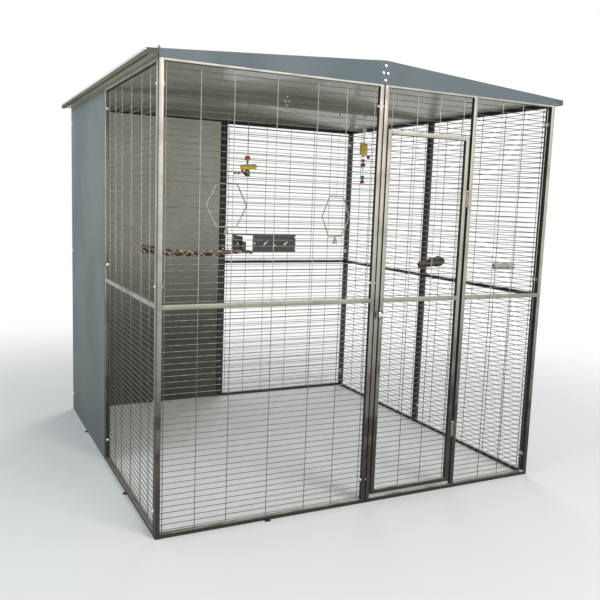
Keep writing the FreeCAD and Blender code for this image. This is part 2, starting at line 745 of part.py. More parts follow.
strap("latch_keeper", "keeper_inset", "keeper_wide", "0", KEEPER_DEEP)
strap("latch_guide", "door_left + tube / 2", "strap_wide", LEAF, GUIDE_DEEP)
BOLT_FRONT = "(door_proud + bolt_slack + bolt_thick)"
bolt_plate = box("tube + bolt_free", "-" + BOLT_FRONT, "-bolt_tall / 2", "bolt_long",
                 "bolt_thick", "bolt_tall")
KNOB_ALONG = "door_left + bolt_slack + knob_stem"
stem = prism(8, "knob_stem", "front_reach - knob_thick - " + BOLT_FRONT, KNOB_ALONG,
           "-" + BOLT_FRONT, "0", 90, (1, 0, 0))
knob = prism(16, "knob_radius", "knob_thick", KNOB_ALONG, "knob_thick - front_reach", "0", 90,
           (1, 0, 0))
latch_bolt = stand(fuse(bolt_plate, stem, knob), *DOOR_WALL)
latch_bolt.setExpression("Placement.Base.z", tie("latch_height"))
node(latch_bolt, "latch_bolt")

# ---- feeder: a frame in the back wall with three doors, each carrying a half-round cup

FRAME_TALL = "feeder_tall - 2 * feeder_bar"
feeder_bars = []
for low in ("feeder_low", "feeder_low + feeder_tall - feeder_bar"):
    feeder_bars.append(box("feeder_from", "feeder_inset", low, "feeder_wide", "feeder_deep",
                           "feeder_bar"))
for k in range(4):
    feeder_bars.append(box("feeder_from + %d * feeder_bay" % k, "feeder_inset",
                           "feeder_low + feeder_bar", "feeder_bar", "feeder_deep", FRAME_TALL))
stand(join("feeder_frame", *feeder_bars), *BACK[1:])


def half_round(radius, low, tall):
    """Half a disc that bulges out of the wall, behind the middle of its door plate."""
    half = doc.addObject("Part::Common", "HalfDisc")
    half.Base = prism(24, radius, tall, "-feeder_door_wide / 2", "-feeder_plate", low)
    half.Tool = box("-feeder_door_wide", "-(feeder_plate + 2 * bowl_radius)", low,
                    "feeder_door_wide", "2 * bowl_radius", tall)
    return half


# Each door hangs on the upright edge that is nearer the cabin's middle: its bay, counted from
# the cabin's middle, and how far it stands open.
FEEDERS = {"left": (0, 90), "middle": (1, 0), "right": (2, 0)}
for name, (bay, opened) in FEEDERS.items():
    plate = box("-feeder_door_wide", "-feeder_plate", "0", "feeder_door_wide", "feeder_plate",
                "feeder_door_tall")
    room = doc.addObject("Part::Common", "CupRoom")
    room.Base = half_round("bowl_radius - bowl_wall", "bowl_rise + bowl_wall", "bowl_tall")
    room.Tool = box("-feeder_door_wide", "-(feeder_plate + bowl_wall + bowl_radius)", "bowl_rise",
                    "feeder_door_wide", "bowl_radius", "2 * bowl_tall")
    cup = cut(half_round("bowl_radius", "bowl_rise", "bowl_tall"), room)
    wing = prism(8, "wing_radius", "wing_thick", "-feeder_door_wide / 2", "wing_thick",
                 "feeder_door_tall / 2", 90, (1, 0, 0))
    for label, pieces in (("door", [plate]), ("cup", [cup, wing])):
        place(join("feeder_%s_%s" % (name, label), *pieces),
              "feeder_left + feeder_bar + %d * feeder_bay + feeder_slack" % bay,
              "back_y - feeder_inset - feeder_deep", "feeder_low + feeder_bar + feeder_slack",
              180 - opened)

# ---- perches

PERCH_FACE = "(tube + wire + perch_washer_thick)"
PERCH_HEIGHTS = {name: between_wires(share) for name, share in PERCH_SHARES.items()}


def gripped(wall, along, height):
    """What clamps a perch onto the mesh: two washers, the stud between them and a nut."""
    level = (height, 90, (1, 0, 0))
    return stand(group(
        prism(8, "perch_washer", "perch_washer_thick", along, PERCH_FACE, *level),
        prism(8, "perch_stud", "2 * wire", along, "tube + wire", *level),
        prism(8, "perch_washer", "perch_washer_thick", along, "tube - wire", *level),
        prism(6, "perch_nut", "perch_nut_thick", along, "tube - wire - perch_washer_thick",
              *level)), wall)


pale = prism(24, "pale_perch_radius", "pale_perch_long", "half_width - " + PERCH_FACE,
           "front_y + pale_perch_y", PERCH_HEIGHTS["pale"], -90, (0, 1, 0))
node(pale, "pale_perch")
join("perch_fixings",
     gripped("right", "pale_perch_y", PERCH_HEIGHTS["pale"]),
     gripped("right", "knobby_perch_y", PERCH_HEIGHTS["knobby"]),
     gripped("left", "cabin_depth - vine_perch_y", PERCH_HEIGHTS["vine"]))


def size(alias):
    """A length of the sheet, for the shape that is made point by point."""
    return float(sheet.get(alias))


def ringed(path, radii, sides):
    """A closed solid of flat faces round a path."""
    rings = []
    for k, centre in enumerate(path):
        ahead = path[min(k + 1, len(path) - 1)] - path[max(k - 1, 0)]
        ahead.normalize()
        side = ahead.cross(FreeCAD.Vector(0, 0, 1)).normalize()
        up = side.cross(ahead)
        ring = []
        for j in range(sides):
            angle = 2 * math.pi * j / sides
            ring.append(centre + side * (radii[k] * math.cos(angle))
                        + up * (radii[k] * math.sin(angle)))
        rings.append(ring)
    faces = []
    for near, far in zip(rings, rings[1:]):
        for j in range(sides):
            following = (j + 1) % sides
            for three in ((near[j], near[following], far[following]),
                          (near[j], far[following], far[j])):
                faces.append(Part.Face(Part.makePolygon(list(three) + [three[0]])))
    for ring in (rings[0], rings[-1]):
        faces.append(Part.Face(Part.makePolygon(ring + [ring[0]])))
    solid = Part.Solid(Part.Shell(faces))
    if solid.Volume < 0:
        solid.reverse()
    return solid


# The knobby perch: shares of its length, along and down, and of its thickest radius.
KNOB_SHARES = ((0, 0, 0.6), (0.08, 0, 0.92), (0.2, -0.012, 1), (0.34, -0.035, 0.78),
               (0.46, -0.055, 0.84), (0.62, -0.085, 0.6), (0.78, -0.115, 0.62),
               (0.9, -0.14, 0.48), (1, -0.16, 0.4))
# The vine stem: shares of its length, sideways and downwards, and of its radius at the wall.
STEM_SHARES = ((0, 0, 0), (0.05, 0, 0), (0.12, 0.004, -0.012), (0.26, -0.008, -0.03),
               (0.4, 0.006, -0.034), (0.54, 0.012, -0.038), (0.68, 0, -0.03),
               (0.82, 0.014, -0.022), (0.92, 0.03, -0.02), (1, 0.046, -0.03))
STEM_RADIUS_SHARES = (1.1, 1.05, 1, 0.95, 1, 0.85, 0.9, 0.75, 0.6, 0.42)
# Its two twigs: where each ends, where it starts round the stem, and its turns.
TWIGS = ((0.9, 0, 1.6), (0.72, math.pi, 1.3))
TWIG_START_SHARE = 0.02
TWIG_AWAY_SHARE = 1.12
TWIG_STEPS = 16


def along_stem(share):
    """A point of the stem, with its radius, at this share of its length."""
    spots = list(zip(STEM_SHARES, STEM_RADIUS_SHARES))
    for (near, near_radius), (far, far_radius) in zip(spots, spots[1:]):
        if share <= far[0]:
            part = (share - near[0]) / (far[0] - near[0])
            point = [a + (b - a) * part for a, b in zip(near, far)]
            return FreeCAD.Vector(*point), near_radius + (far_radius - near_radius) * part
    return FreeCAD.Vector(*STEM_SHARES[-1]), STEM_RADIUS_SHARES[-1]


def vine_solids():
    """A bent stem with two twigs wound round it in long turns."""
    long = size("vine_perch_long")
    stem_radius = size("vine_perch_radius")
    twig = size("vine_twig")
    solids = [ringed([FreeCAD.Vector(*spot) * long for spot in STEM_SHARES],
                     [share * stem_radius for share in STEM_RADIUS_SHARES], 8)]
    for end, phase, turns in TWIGS:
        path = []
        for k in range(TWIG_STEPS + 1):
            share = TWIG_START_SHARE + (end - TWIG_START_SHARE) * k / TWIG_STEPS
            centre, radius_share = along_stem(share)
            away = radius_share * stem_radius + twig * TWIG_AWAY_SHARE
            angle = phase + 2 * math.pi * turns * share
            round_stem = FreeCAD.Vector(0, math.cos(angle), math.sin(angle))
            path.append(centre * long + round_stem * away)
        taper = [twig * (1 - 0.4 * k / TWIG_STEPS) for k in range(TWIG_STEPS + 1)]
        solids.append(ringed(path, taper, 6))
    return Part.makeCompound(solids)


def knobby_solid():
    """A short thick branch with swellings."""
    long = size("knobby_perch_long")
    thick = size("knobby_perch_radius")
    path = [FreeCAD.Vector(-along * long, 0, down * long) for along, down, _ in KNOB_SHARES]
    return ringed(path, [share * thick for _, _, share in KNOB_SHARES], 10)


for name, shape, side in (("vine", vine_solids(), "-half_width + "),
                          ("knobby", knobby_solid(), "half_width - ")):
    branch = doc.addObject("Part::Feature", name + "_perch")
    branch.Shape = shape
    place(branch, side + PERCH_FACE, "front_y + %s_perch_y" % name, PERCH_HEIGHTS[name])
    node(branch, name + "_perch")

# ---- swings and toys, which hang from eye plates under the truss

HUNG = {
    "swing_left": ("swing_left_x", "(eye_z - swing_left_drop)"),
    "swing_right": ("swing_right_x", "(eye_z - swing_right_drop)"),
    "toy_left": ("toy_left_x", "(eye_z - toy_left_drop)"),
    "toy_right": ("toy_right_x", "(eye_z - toy_right_drop)"),
}
# A pin has flat sides, and the hole round it too, whose flats are as far out as its corners.
PIN_SIDES = 12
PIN_CORNER = 1 / math.cos(math.pi / PIN_SIDES)
eyes = []
for name, (x, top) in HUNG.items():
    plate = box("%s - eye_thick / 2" % x, "middle_y - eye_deep / 2", "fascia_low - eye_tall",
                "eye_thick", "eye_deep", "eye_tall")
    hole = prism(PIN_SIDES, "(swing_pin + swing_play) * %s" % PIN_CORNER, "eye_thick",
                 "%s - eye_thick / 2" % x, "middle_y", "eye_z", 90, (0, 1, 0))
    eyes.append(cut(plate, hole))
    leg_in = "(eye_thick / 2 + hanger_side)"
    leg_out = "(eye_thick / 2 + hanger_side + hanger)"
    pin = prism(PIN_SIDES, "swing_pin", "2 * " + leg_out, "%s - %s" % (x, leg_out), "middle_y",
                "eye_z", 90, (0, 1, 0))
    legs = []
    for start in ("%s - %s" % (x, leg_out), "%s + %s" % (x, leg_in)):
        legs.append(box(start, "middle_y - swing_pin", "eye_z - hanger_drop", "hanger",
                        "2 * swing_pin", "hanger_drop"))
    bridge = box("%s - %s" % (x, leg_out), "middle_y - hanger / 2",
                 "eye_z - hanger_drop - hanger", "2 * " + leg_out, "hanger", "hanger")
    wire = box("%s - hanger / 2" % x, "middle_y - hanger / 2", top, "hanger", "hanger",
               "eye_z - hanger_drop - hanger - " + top)
    node(fuse(pin, *legs, bridge, wire), name + "_hanger")
join("swing_eyes", *eyes)

OCTAGON = [(math.cos(math.radians(45 * k + 22.5)), math.sin(math.radians(45 * k + 22.5)))
           for k in range(8)]
STICK = "(swing_side - swing_stick * 1.1547 - stick_gap)"
for name, turn in (("swing_left", 15), ("swing_right", 25)):
    x, top = HUNG[name]
    ring = new_body("Ring")
    sketch = sketch_on(ring, "YZ_Plane", "-%s / 2" % STICK)
    outline(sketch, [("%.4f * swing_stick" % y, "swing_apothem + %.4f * swing_stick" % z)
                     for y, z in OCTAGON])
    stick = pad(ring, sketch, STICK)
    around = ring.newObject("PartDesign::PolarPattern", "Around")
    around.Originals = [stick]
    around.Axis = (origin_item(ring, "Y_Axis"), [""])
    around.Angle = 360
    around.Occurrences = 6
    ring.Tip = around
    bead = prism(8, "swing_tassel", "swing_tassel_tall", "0", "0",
                 "-(swing_apothem + swing_stick + swing_tassel_tall)")
    place(join(name + "_ring", ring, bead), x, "middle_y",
          "%s - swing_stick - swing_apothem" % top, turn)


def string(x, low, length):
    """A piece of hanger wire between two beads."""
    return box("%s - hanger / 2" % x, "middle_y - hanger / 2", low, "hanger", "hanger", length)


def left_toy():
    """A red bead over a lying roll, with small blocks and pearls under it."""
    x, top = HUNG["toy_left"]
    roll_top = "(%s - 2 * toy_bead - toy_string)" % top
    roll_foot = "(%s - 2 * toy_bead)" % roll_top
    return [
        prism(10, "toy_bead", "2 * toy_bead", x, "middle_y", "%s - 2 * toy_bead" % top),
        string(x, roll_top, "toy_string"),
        prism(16, "toy_bead", "toy_roll_long", "%s - 0.42 * toy_roll_long" % x, "middle_y",
            "%s - toy_bead" % roll_top, 90, (0, 1, 0)),
        box("%s - toy_chip / 2" % x, "middle_y - toy_chip / 2",
            "%s - 1.5 * toy_chip" % roll_foot, "toy_chip", "toy_chip", "1.5 * toy_chip"),
        box("%s - 1.5 * toy_chip" % x, "middle_y - toy_chip / 2",
            "%s - toy_chip" % roll_foot, "toy_chip", "toy_chip", "toy_chip"),
        box("%s - 3 * toy_chip" % x, "middle_y - toy_pearl", "%s - toy_chip" % roll_foot,
            "1.5 * toy_chip", "2 * toy_pearl", "toy_pearl"),
    ]


def right_toy():
    """A clip, a standing block, small blocks and a bell on one string."""
    x, top = HUNG["toy_right"]
    block_top = "(%s - toy_chip - 4 * toy_string)" % top
    block_foot = "(%s - toy_block)" % block_top
    chip_top = "(%s - 1.5 * toy_string)" % block_foot
    chip_foot = "(%s - 2 * toy_chip)" % chip_top
    bell_top = "(%s - 2 * toy_chip)" % chip_foot
    return [
        box("%s - toy_chip / 2" % x, "middle_y - toy_pearl", "%s - toy_chip" % top, "toy_chip",
            "2 * toy_pearl", "toy_chip"),
        string(x, block_top, "4 * toy_string"),
        box("%s - toy_block_wide / 2" % x, "middle_y - toy_chip / 2", block_foot,
            "toy_block_wide", "toy_chip", "toy_block"),
        string(x, chip_top, "1.5 * toy_string"),
        box("%s - toy_chip / 2" % x, "middle_y - toy_chip / 2", chip_foot, "toy_chip",
            "toy_chip", "2 * toy_chip"),
        string(x, bell_top, "2 * toy_chip"),
        box("%s - toy_chip / 2" % x, "middle_y - toy_chip / 2", "%s - 2 * toy_chip" % bell_top,
            "toy_chip", "toy_chip", "2 * toy_chip"),
    ]


join("toy_left_beads", *left_toy())
join("toy_right_beads", *right_toy())

# ---- check and export

doc.recompute()
for thing in doc.Objects:
    if "Invalid" in thing.State or "Error" in thing.State:
        raise RuntimeError("%s (%s) failed: %s" % (thing.Name, thing.Label, thing.State))
os.makedirs("parts", exist_ok=True)
for thing in NODES:
    shape = thing.Shape
    if shape.isNull() or not shape.isValid() or not shape.Solids:
        raise RuntimeError("%s has no valid solid" % thing.Label)
    shape.exportStep(os.path.join("parts", thing.Label + ".step"))
print("%d nodes, %d solids" % (len(NODES), sum(len(item.Shape.Solids) for item in NODES)))
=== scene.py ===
"""Looks of the walk-in aviary: steel frames, welded mesh, sheets, roof, perches, swings and toys.

Metres, +Z up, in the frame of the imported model. The front wall faces -Y and the closed corner
is at the back on the left.
"""

import logging
import math
import random
from dataclasses import dataclass
from enum import Enum
from typing import Any, Callable, Iterable, Optional, Sequence, Union

import bmesh
import bpy
from mathutils import Matrix, Vector, noise


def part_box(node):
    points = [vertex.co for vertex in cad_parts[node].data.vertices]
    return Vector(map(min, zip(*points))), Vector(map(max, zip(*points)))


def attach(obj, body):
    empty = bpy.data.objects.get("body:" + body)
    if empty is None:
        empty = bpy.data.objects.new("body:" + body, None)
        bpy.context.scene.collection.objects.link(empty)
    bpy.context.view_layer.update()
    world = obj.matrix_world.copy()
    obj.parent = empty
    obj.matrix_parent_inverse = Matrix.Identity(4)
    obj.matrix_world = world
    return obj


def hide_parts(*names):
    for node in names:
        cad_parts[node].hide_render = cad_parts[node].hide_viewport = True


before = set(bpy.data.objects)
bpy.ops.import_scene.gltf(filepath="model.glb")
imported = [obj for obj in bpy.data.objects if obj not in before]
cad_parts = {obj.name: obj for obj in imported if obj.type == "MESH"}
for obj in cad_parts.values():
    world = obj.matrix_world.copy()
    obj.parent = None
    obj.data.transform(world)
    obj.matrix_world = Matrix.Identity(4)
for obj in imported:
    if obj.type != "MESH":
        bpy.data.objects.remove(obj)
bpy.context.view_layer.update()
LOG = logging.getLogger("aviary")

Colour = tuple[float, float, float]
Point = tuple[float, float, float]
Profile = Sequence[tuple[float, float]]
Spots = Iterable[tuple[Vector, Vector]]

FRONT_Y = -1.015
MIDDLE_Y = -0.015
EYE_Z = 1.897
X, Y, Z = Vector((1, 0, 0)), Vector((0, 1, 0)), Vector((0, 0, 1))
FORTH = Vector((0, -1, 0))


class Body(Enum):
    """The bodies that pieces ride on."""

    CABIN = "cabin"
    DOOR = "door"
    LATCH = "latch_bolt"
    FEEDER_LEFT = "feeder_left"
    FEEDER_MIDDLE = "feeder_middle"
    FEEDER_RIGHT = "feeder_right"
    SWING_LEFT = "swing_left"
    SWING_RIGHT = "swing_right"
    TOY_LEFT = "toy_left"
    TOY_RIGHT = "toy_right"


# Nodes


def operator(operation: str, swapped: bool = False) -> Callable[["Sock", Any], "Sock"]:
    """A Python operator that adds one Math node.

    Args:
        operation: the node's operation.
        swapped: whether the socket is the second operand.

    Returns:
        The method for the class Sock.
    """
    def method(self: "Sock", other: Any) -> "Sock":
        """Adds the node."""
        return self.work.maths(operation, *((other, self) if swapped else (self, other)))
    return method


class Sock:
    """A socket of a node tree that can be used in Python expressions."""

    __add__ = __radd__ = operator("ADD")
    __mul__ = __rmul__ = operator("MULTIPLY")
    __sub__ = operator("SUBTRACT")
    __rsub__ = operator("SUBTRACT", swapped=True)
    __truediv__ = operator("DIVIDE")

    def __init__(self, work: "NodeWork", socket: bpy.types.NodeSocket) -> None:
        """Wraps one output socket of a tree."""
        self.work = work
        self.socket = socket

    def out(self, name: str) -> "Sock":
        """Another output of the same node, by its name."""
        found = next(s for s in self.socket.node.outputs if s.enabled and s.name == name)
        return Sock(self.work, found)

    def clipped(self) -> "Sock":
        """The value kept between 0 and 1."""
        return self.work.node("ShaderNodeClamp", {"Value": self})

    def step(self, low: float, high: float) -> "Sock":
        """A smooth step from 0 at low to 1 at high."""
        return self.work.node("ShaderNodeMapRange",
                              {"Value": self, "From Min": low, "From Max": high},
                              interpolation_type="SMOOTHSTEP")


class NodeWork:
    """Adds nodes to one shader or geometry tree."""

    def __init__(self, tree: bpy.types.NodeTree) -> None:
        """Starts on an empty tree."""
        self.tree = tree

    @classmethod
    def on(cls, owner: Union[bpy.types.Material, bpy.types.World]) -> "NodeWork":
        """Empties the tree of a material or a world and starts on it.

        Args:
            owner: the material or the world.

        Returns:
            The tree, ready for nodes.
        """
        owner.use_nodes = True
        owner.node_tree.nodes.clear()
        return cls(owner.node_tree)

    def node(self, kind: str, inputs: Optional[dict[Any, Any]] = None, **settings: Any) -> Sock:
        """Adds a node.

        Args:
            kind: the node's type.
            inputs: values or links of its sockets, by name or by number.
            settings: its properties, set first.

        Returns:
            Its first output that is in use.
        """
        made = self.tree.nodes.new(kind)
        for key, value in settings.items():
            setattr(made, key, value)
        for key, value in (inputs or {}).items():
            socket = (made.inputs[key] if isinstance(key, int) else
                      next(s for s in made.inputs if s.enabled and s.name == key))
            if isinstance(value, Sock):
                self.tree.links.new(value.socket, socket)
            else:
                socket.default_value = value
        return Sock(self, next((s for s in made.outputs if s.enabled), None))

    def maths(self, operation: str, *values: Any) -> Sock:
        """A Math node on one or two values."""
        return self.node("ShaderNodeMath", dict(enumerate(values)), operation=operation)

    def vectors(self, operation: str, *values: Any) -> Sock:
        """A Vector Math node on one or two vectors."""
        return self.node("ShaderNodeVectorMath", dict(enumerate(values)), operation=operation)

    def mix(self, factor: Any, first: Any, second: Any) -> Sock:
        """Mixes two colours."""
        first, second = (ink if isinstance(ink, Sock) else (*ink, 1.0)
                         for ink in (first, second))
        return self.node("ShaderNodeMix", {"Factor": factor, "A": first, "B": second},
                         data_type="RGBA")

    def noise(self, vector: Any, scale: float, detail: float = 2.0) -> Sock:
        """Noise from 0 to 1 on a vector."""
        return self.node("ShaderNodeTexNoise",
                         {"Vector": vector, "Scale": scale, "Detail": detail})

    def place(self) -> Sock:
        """Object coordinates."""
        return self.node("ShaderNodeTexCoord").out("Object")

    def along(self, axis: str) -> Sock:
        """One of the object coordinates."""
        return self.node("ShaderNodeSeparateXYZ", {0: self.place()}).out(axis)

    def attribute(self, name: str, output: str = "Fac") -> Sock:
        """An attribute of the mesh."""
        return self.node("ShaderNodeAttribute", attribute_name=name).out(output)

    def bump(self, strength: float, depth: float, height: Sock) -> Sock:
        """A normal that shows a height, as deep as depth at full strength."""
        return self.node("ShaderNodeBump",
                         {"Strength": strength, "Distance": depth, "Height": height})


# Finishes


@dataclass(frozen=True)
class Finish:
    """A finish of the object, which makes its own material."""

    name: str
    colour: Colour
    roughness: float
    shade: Colour = (0.3, 0.29, 0.27)

    def paint(self, work: NodeWork) -> dict[str, Any]:
        """The shader's sockets that this finish sets."""
        return {}

    def material(self) -> bpy.types.Material:
        """The finish as a material, made once.

        Returns:
            The material.
        """
        made = bpy.data.materials.get(self.name)
        if made:
            return made
        made = bpy.data.materials.new(self.name)
        work = NodeWork.on(made)
        sockets = {"Base Color": (*self.colour, 1.0), "Roughness": self.roughness,
                   **self.paint(work)}
        shader = work.node("ShaderNodeBsdfPrincipled", sockets)
        work.node("ShaderNodeOutputMaterial", {"Surface": shader})
        made.diffuse_color = (*self.colour, 1.0)
        return made


@dataclass(frozen=True)
class BrushedTube(Finish):
    """Brushed stainless tube, with painted light: lit outer faces, painted shade on the others.
    """

    # The painted shade of faces that don't look outwards, and the painted highlight colour.
    painted_shade_sides: Colour = (0.05, 0.05, 0.056)
    lit: Colour = (0.8, 0.8, 0.76)
    metal: float = 0.75

    def paint(self, work: NodeWork) -> dict[str, Any]:
        """Streaks along the grain, smudges, painted shade at the foot and on faces that don't
        look outwards, and a painted highlight on the tops of the right's low rails.
        """
        grain = work.vectors("MULTIPLY", work.attribute("grain", "Vector"),
                             (4.0, 900.0, 900.0))
        streak = work.noise(grain, 1.0, 3.0)
        smudge = work.noise(work.place(), 9.0, 4.0).step(0.42, 0.7)
        upward, height = work.attribute("upward"), work.along("Z")
        # Painted shade: darker towards the ground, less on faces that look up.
        foot = (1.0 - height.step(0.0, 1.5)) * (1.0 - 0.6 * upward)
        dark = (0.3 * streak + 0.25 * smudge + 0.95 * foot - 0.1).clipped()
        # Painted highlight: the tops of the right wall's low rails, pale and less metallic.
        low_top = (upward * work.along("X").step(0.95, 0.97)
                   * (1.0 - height.step(0.05, 0.3))).clipped()
        # Painted light: faces marked as looking outwards or up keep the colour, the rest take the
        # painted shade of the sides.
        body = work.mix(work.attribute("outer"), self.painted_shade_sides,
                        work.mix(dark, self.colour, self.shade))
        return {"Base Color": work.mix(low_top, body, self.lit),
                "Metallic": self.metal - 0.6 * low_top,
                "Roughness": self.roughness + 0.16 * streak + 0.1 * smudge,
                "Normal": work.bump(0.12, 0.0004, streak)}


@dataclass(frozen=True)
class DrawnWire(Finish):
    """Drawn wire with darker spots, in a painted lit copy and a painted shade copy."""

    # foot, base, reach: strength and height range of the painted shade.
    foot: float = 0.3
    base: float = 0.0
    reach: float = 1.0

    def paint(self, work: NodeWork) -> dict[str, Any]:
        """Spots along the wire, and painted shade at its foot."""
        spot = work.noise(work.place(), 55.0, 2.0).step(0.4, 0.75)
        foot = self.foot * (1.0 - work.along("Z").step(self.base, self.reach))
        return {"Base Color": work.mix((0.35 * spot + foot).clipped(), self.colour, self.shade),
                "Metallic": 0.85, "Roughness": self.roughness + 0.2 * spot}


@dataclass(frozen=True)
class CoatedSheet(Finish):
    """Coated sheet metal: a fine grain, broad clouds and painted shade towards the ground."""

    coat: float = 0.2
    speck: float = 900.0
    cloud: float = 2.2
    # foot, base, reach: strength and height range of the painted shade.
    foot: float = 0.0
    base: float = 0.0
    reach: float = 1.6
    painted_low_shade: Colour = (0.06, 0.07, 0.07)

    def paint(self, work: NodeWork) -> dict[str, Any]:
        """Specks, clouds, a slight ripple, and painted shade towards the ground."""
        spot = work.place()
        # Painted shade: darker towards the ground, up to reach.
        painted_low_shade = self.foot * (1.0 - work.along("Z").step(self.base, self.reach))
        speck = work.noise(spot, self.speck, 2.0)
        cloud = work.noise(spot, self.cloud, 5.0).step(0.35, 0.7)
        ripple = work.noise(spot, 14.0, 2.0)
        face = work.mix((0.6 * cloud + 0.4 * speck - 0.1).clipped(), self.colour, self.shade)
        return {"Base Color": work.mix(painted_low_shade, face, self.painted_low_shade), "Coat Weight": self.coat,
                "Roughness": self.roughness + 0.12 * cloud,
                "Normal": work.bump(0.1, 0.002, 0.9 * ripple + 0.1 * speck)}


@dataclass(frozen=True)
class RoofPanel(CoatedSheet):
    """A sandwich panel: glossy underneath, duller on top, with its core at both ends, painted
    darker as shade.
    """

    core: Colour = (0.16, 0.15, 0.1)
    middle: float = 0.01
    half: float = 1.025
    ridge: float = 1.9835
    fall: float = 0.0685

    def paint(self, work: NodeWork) -> dict[str, Any]:
        """The coat of each side, and the core on the end faces, darkened as painted shade."""
        coat = super().paint(work)
        away = work.maths("ABSOLUTE", work.along("Y") - self.middle)
        aside = work.maths("ABSOLUTE", work.along("X"))
        top = (work.along("Z") + self.fall * aside - self.ridge).step(0.01, 0.012)
        # The end faces: the core's colour, dark as painted shade.
        core_and_shade = work.mix(work.noise(work.place(), 260.0, 3.0), self.core,
                        tuple(0.55 * v for v in self.core))
        end = away.step(self.half - 0.0004, self.half - 0.0001)
        return {**coat, "Base Color": work.mix(end, coat["Base Color"], core_and_shade),
                "Coat Weight": self.coat * (1.0 - end) * (1.0 - top),
                "Roughness": coat["Roughness"] + 0.6 * end + 0.3 * top * (1.0 - end)}


@dataclass(frozen=True)
class GablePlate(CoatedSheet):
    """A plate coated in one colour outside and in another inside the cabin."""

    inside: CoatedSheet = CoatedSheet("gable_inside", (0.4, 0.405, 0.35), 0.5,
                                      (0.28, 0.28, 0.24), 0.1)

    def paint(self, work: NodeWork) -> dict[str, Any]:
        """The coat of each side, told apart by depth."""
        out, into = super().paint(work), self.inside.paint(work)
        outer = work.maths("ABSOLUTE", work.along("Y") - MIDDLE_Y).step(1.0005, 1.0015)
        return {**out, "Base Color": work.mix(outer, into["Base Color"], out["Base Color"])}


@dataclass(frozen=True)
class BrightFitting(Finish):
    """Zinc or stainless fittings, with worn edges."""

    def paint(self, work: NodeWork) -> dict[str, Any]:
        """Wear spots."""
        spot = work.noise(work.place(), 160.0, 3.0).step(0.35, 0.7)
        return {"Base Color": work.mix(0.5 * spot, self.colour, self.shade), "Metallic": 1.0,
                "Roughness": self.roughness + 0.15 * spot}


@dataclass(frozen=True)
class Timber(Finish):
    """Wood with a grain along X and darker knots."""

    bark: float = 0.3
    knots: float = 40.0

    def paint(self, work: NodeWork) -> dict[str, Any]:
        """Grain, knots and a rough skin."""
        spot = work.place()
        grain = work.noise(work.vectors("MULTIPLY", spot, (3.0, 60.0, 60.0)), 3.0, 5.0)
        knot = work.noise(spot, self.knots, 3.0).step(0.46, 0.66)
        return {"Base Color": work.mix((grain.step(0.3, 0.7) * 0.7 + 0.5 * knot).clipped(),
                                       self.colour, self.shade),
                "Roughness": self.roughness + 0.15 * grain,
                "Normal": work.bump(self.bark, 0.0015, grain + 0.6 * knot)}


@dataclass(frozen=True)
class Moulded(Finish):
    """Moulded plastic or painted wood, a little scuffed."""

    def paint(self, work: NodeWork) -> dict[str, Any]:
        """Scuffs and a soft skin."""
        spot = work.place()
        scuff = work.noise(spot, 180.0, 4.0).step(0.5, 0.8)
        return {"Base Color": work.mix(0.35 * scuff, self.colour, self.shade),
                "Roughness": self.roughness + 0.2 * scuff, "Coat Weight": 0.3,
                "Normal": work.bump(0.08, 0.0005, work.noise(spot, 400.0, 2.0))}


# Tube colour on lit faces; the shade at the foot and on the other faces is painted.
TUBE = BrushedTube("stainless_tube", (0.46, 0.45, 0.39), 0.38, (0.055, 0.05, 0.043))
# Painted light: a copy painted in shade, and a copy painted lit whose lower part is painted in
# shade.
WIRE = DrawnWire("stainless_wire", (0.15, 0.147, 0.128), 0.4, (0.045, 0.043, 0.038))
PAINTED_LIT_WIRE = DrawnWire("stainless_wire_bright", (0.5, 0.495, 0.44), 0.42,
                        (0.13, 0.127, 0.11), foot=0.95, base=0.6, reach=1.2)
# Painted shade low down on both skins.
OUTER_SKIN = CoatedSheet("outer_skin_blue_grey", (0.202, 0.236, 0.23), 0.68,
                         (0.16, 0.188, 0.185), 0.03, foot=0.58, reach=1.9)
INNER_SKIN = CoatedSheet("inner_skin_olive_grey", (0.86, 0.865, 0.75), 0.34,
                         (0.62, 0.62, 0.525), 0.3, cloud=1.4, foot=1.0, base=0.42, reach=1.72,
                         painted_low_shade=(0.052, 0.052, 0.043))
GABLE = GablePlate("gable_plate", (0.14, 0.175, 0.19), 0.6, (0.1, 0.13, 0.15), 0.0, 420.0)
ROOF = RoofPanel("roof_pale", (0.5, 0.505, 0.43), 0.36, (0.37, 0.37, 0.31), 0.2)
ROOF_EDGE = CoatedSheet("roof_edge_cream", (0.76, 0.76, 0.66), 0.4, (0.6, 0.6, 0.5))
RIDGE = CoatedSheet("ridge_cap_cream", (0.56, 0.56, 0.49), 0.68, (0.44, 0.44, 0.38), 0.0)
# Painted shade: the recessed web of the edge channels.
ROOF_WEB_SHADE = CoatedSheet("roof_edge_olive", (0.15, 0.155, 0.1), 0.75, (0.1, 0.1, 0.065), 0.0)
BOLT = BrightFitting("bright_bolt", (0.95, 0.94, 0.9), 0.2, (0.6, 0.59, 0.55))
HINGE = BrightFitting("hinge_steel", (0.72, 0.69, 0.63), 0.3)
KNUCKLE = BrightFitting("knuckle_steel", (0.3, 0.3, 0.23), 0.4, (0.16, 0.16, 0.12))
TAB = BrightFitting("tab_steel", (0.1, 0.095, 0.08), 0.45, (0.04, 0.038, 0.03))
NUT = BrightFitting("bright_nut", (0.98, 0.98, 0.95), 0.14, (0.86, 0.86, 0.83))
LATCH = BrightFitting("latch_steel", (0.2, 0.19, 0.17), 0.35, (0.04, 0.038, 0.035))
FEEDER = BrightFitting("feeder_satin_steel", (0.108, 0.117, 0.112), 0.4, (0.058, 0.062, 0.06))
HANGER = BrightFitting("hanger_wire", (0.5, 0.49, 0.46), 0.35)
PALE_WOOD = Timber("pale_stick", (0.8, 0.775, 0.69), 0.6, (0.56, 0.53, 0.44))
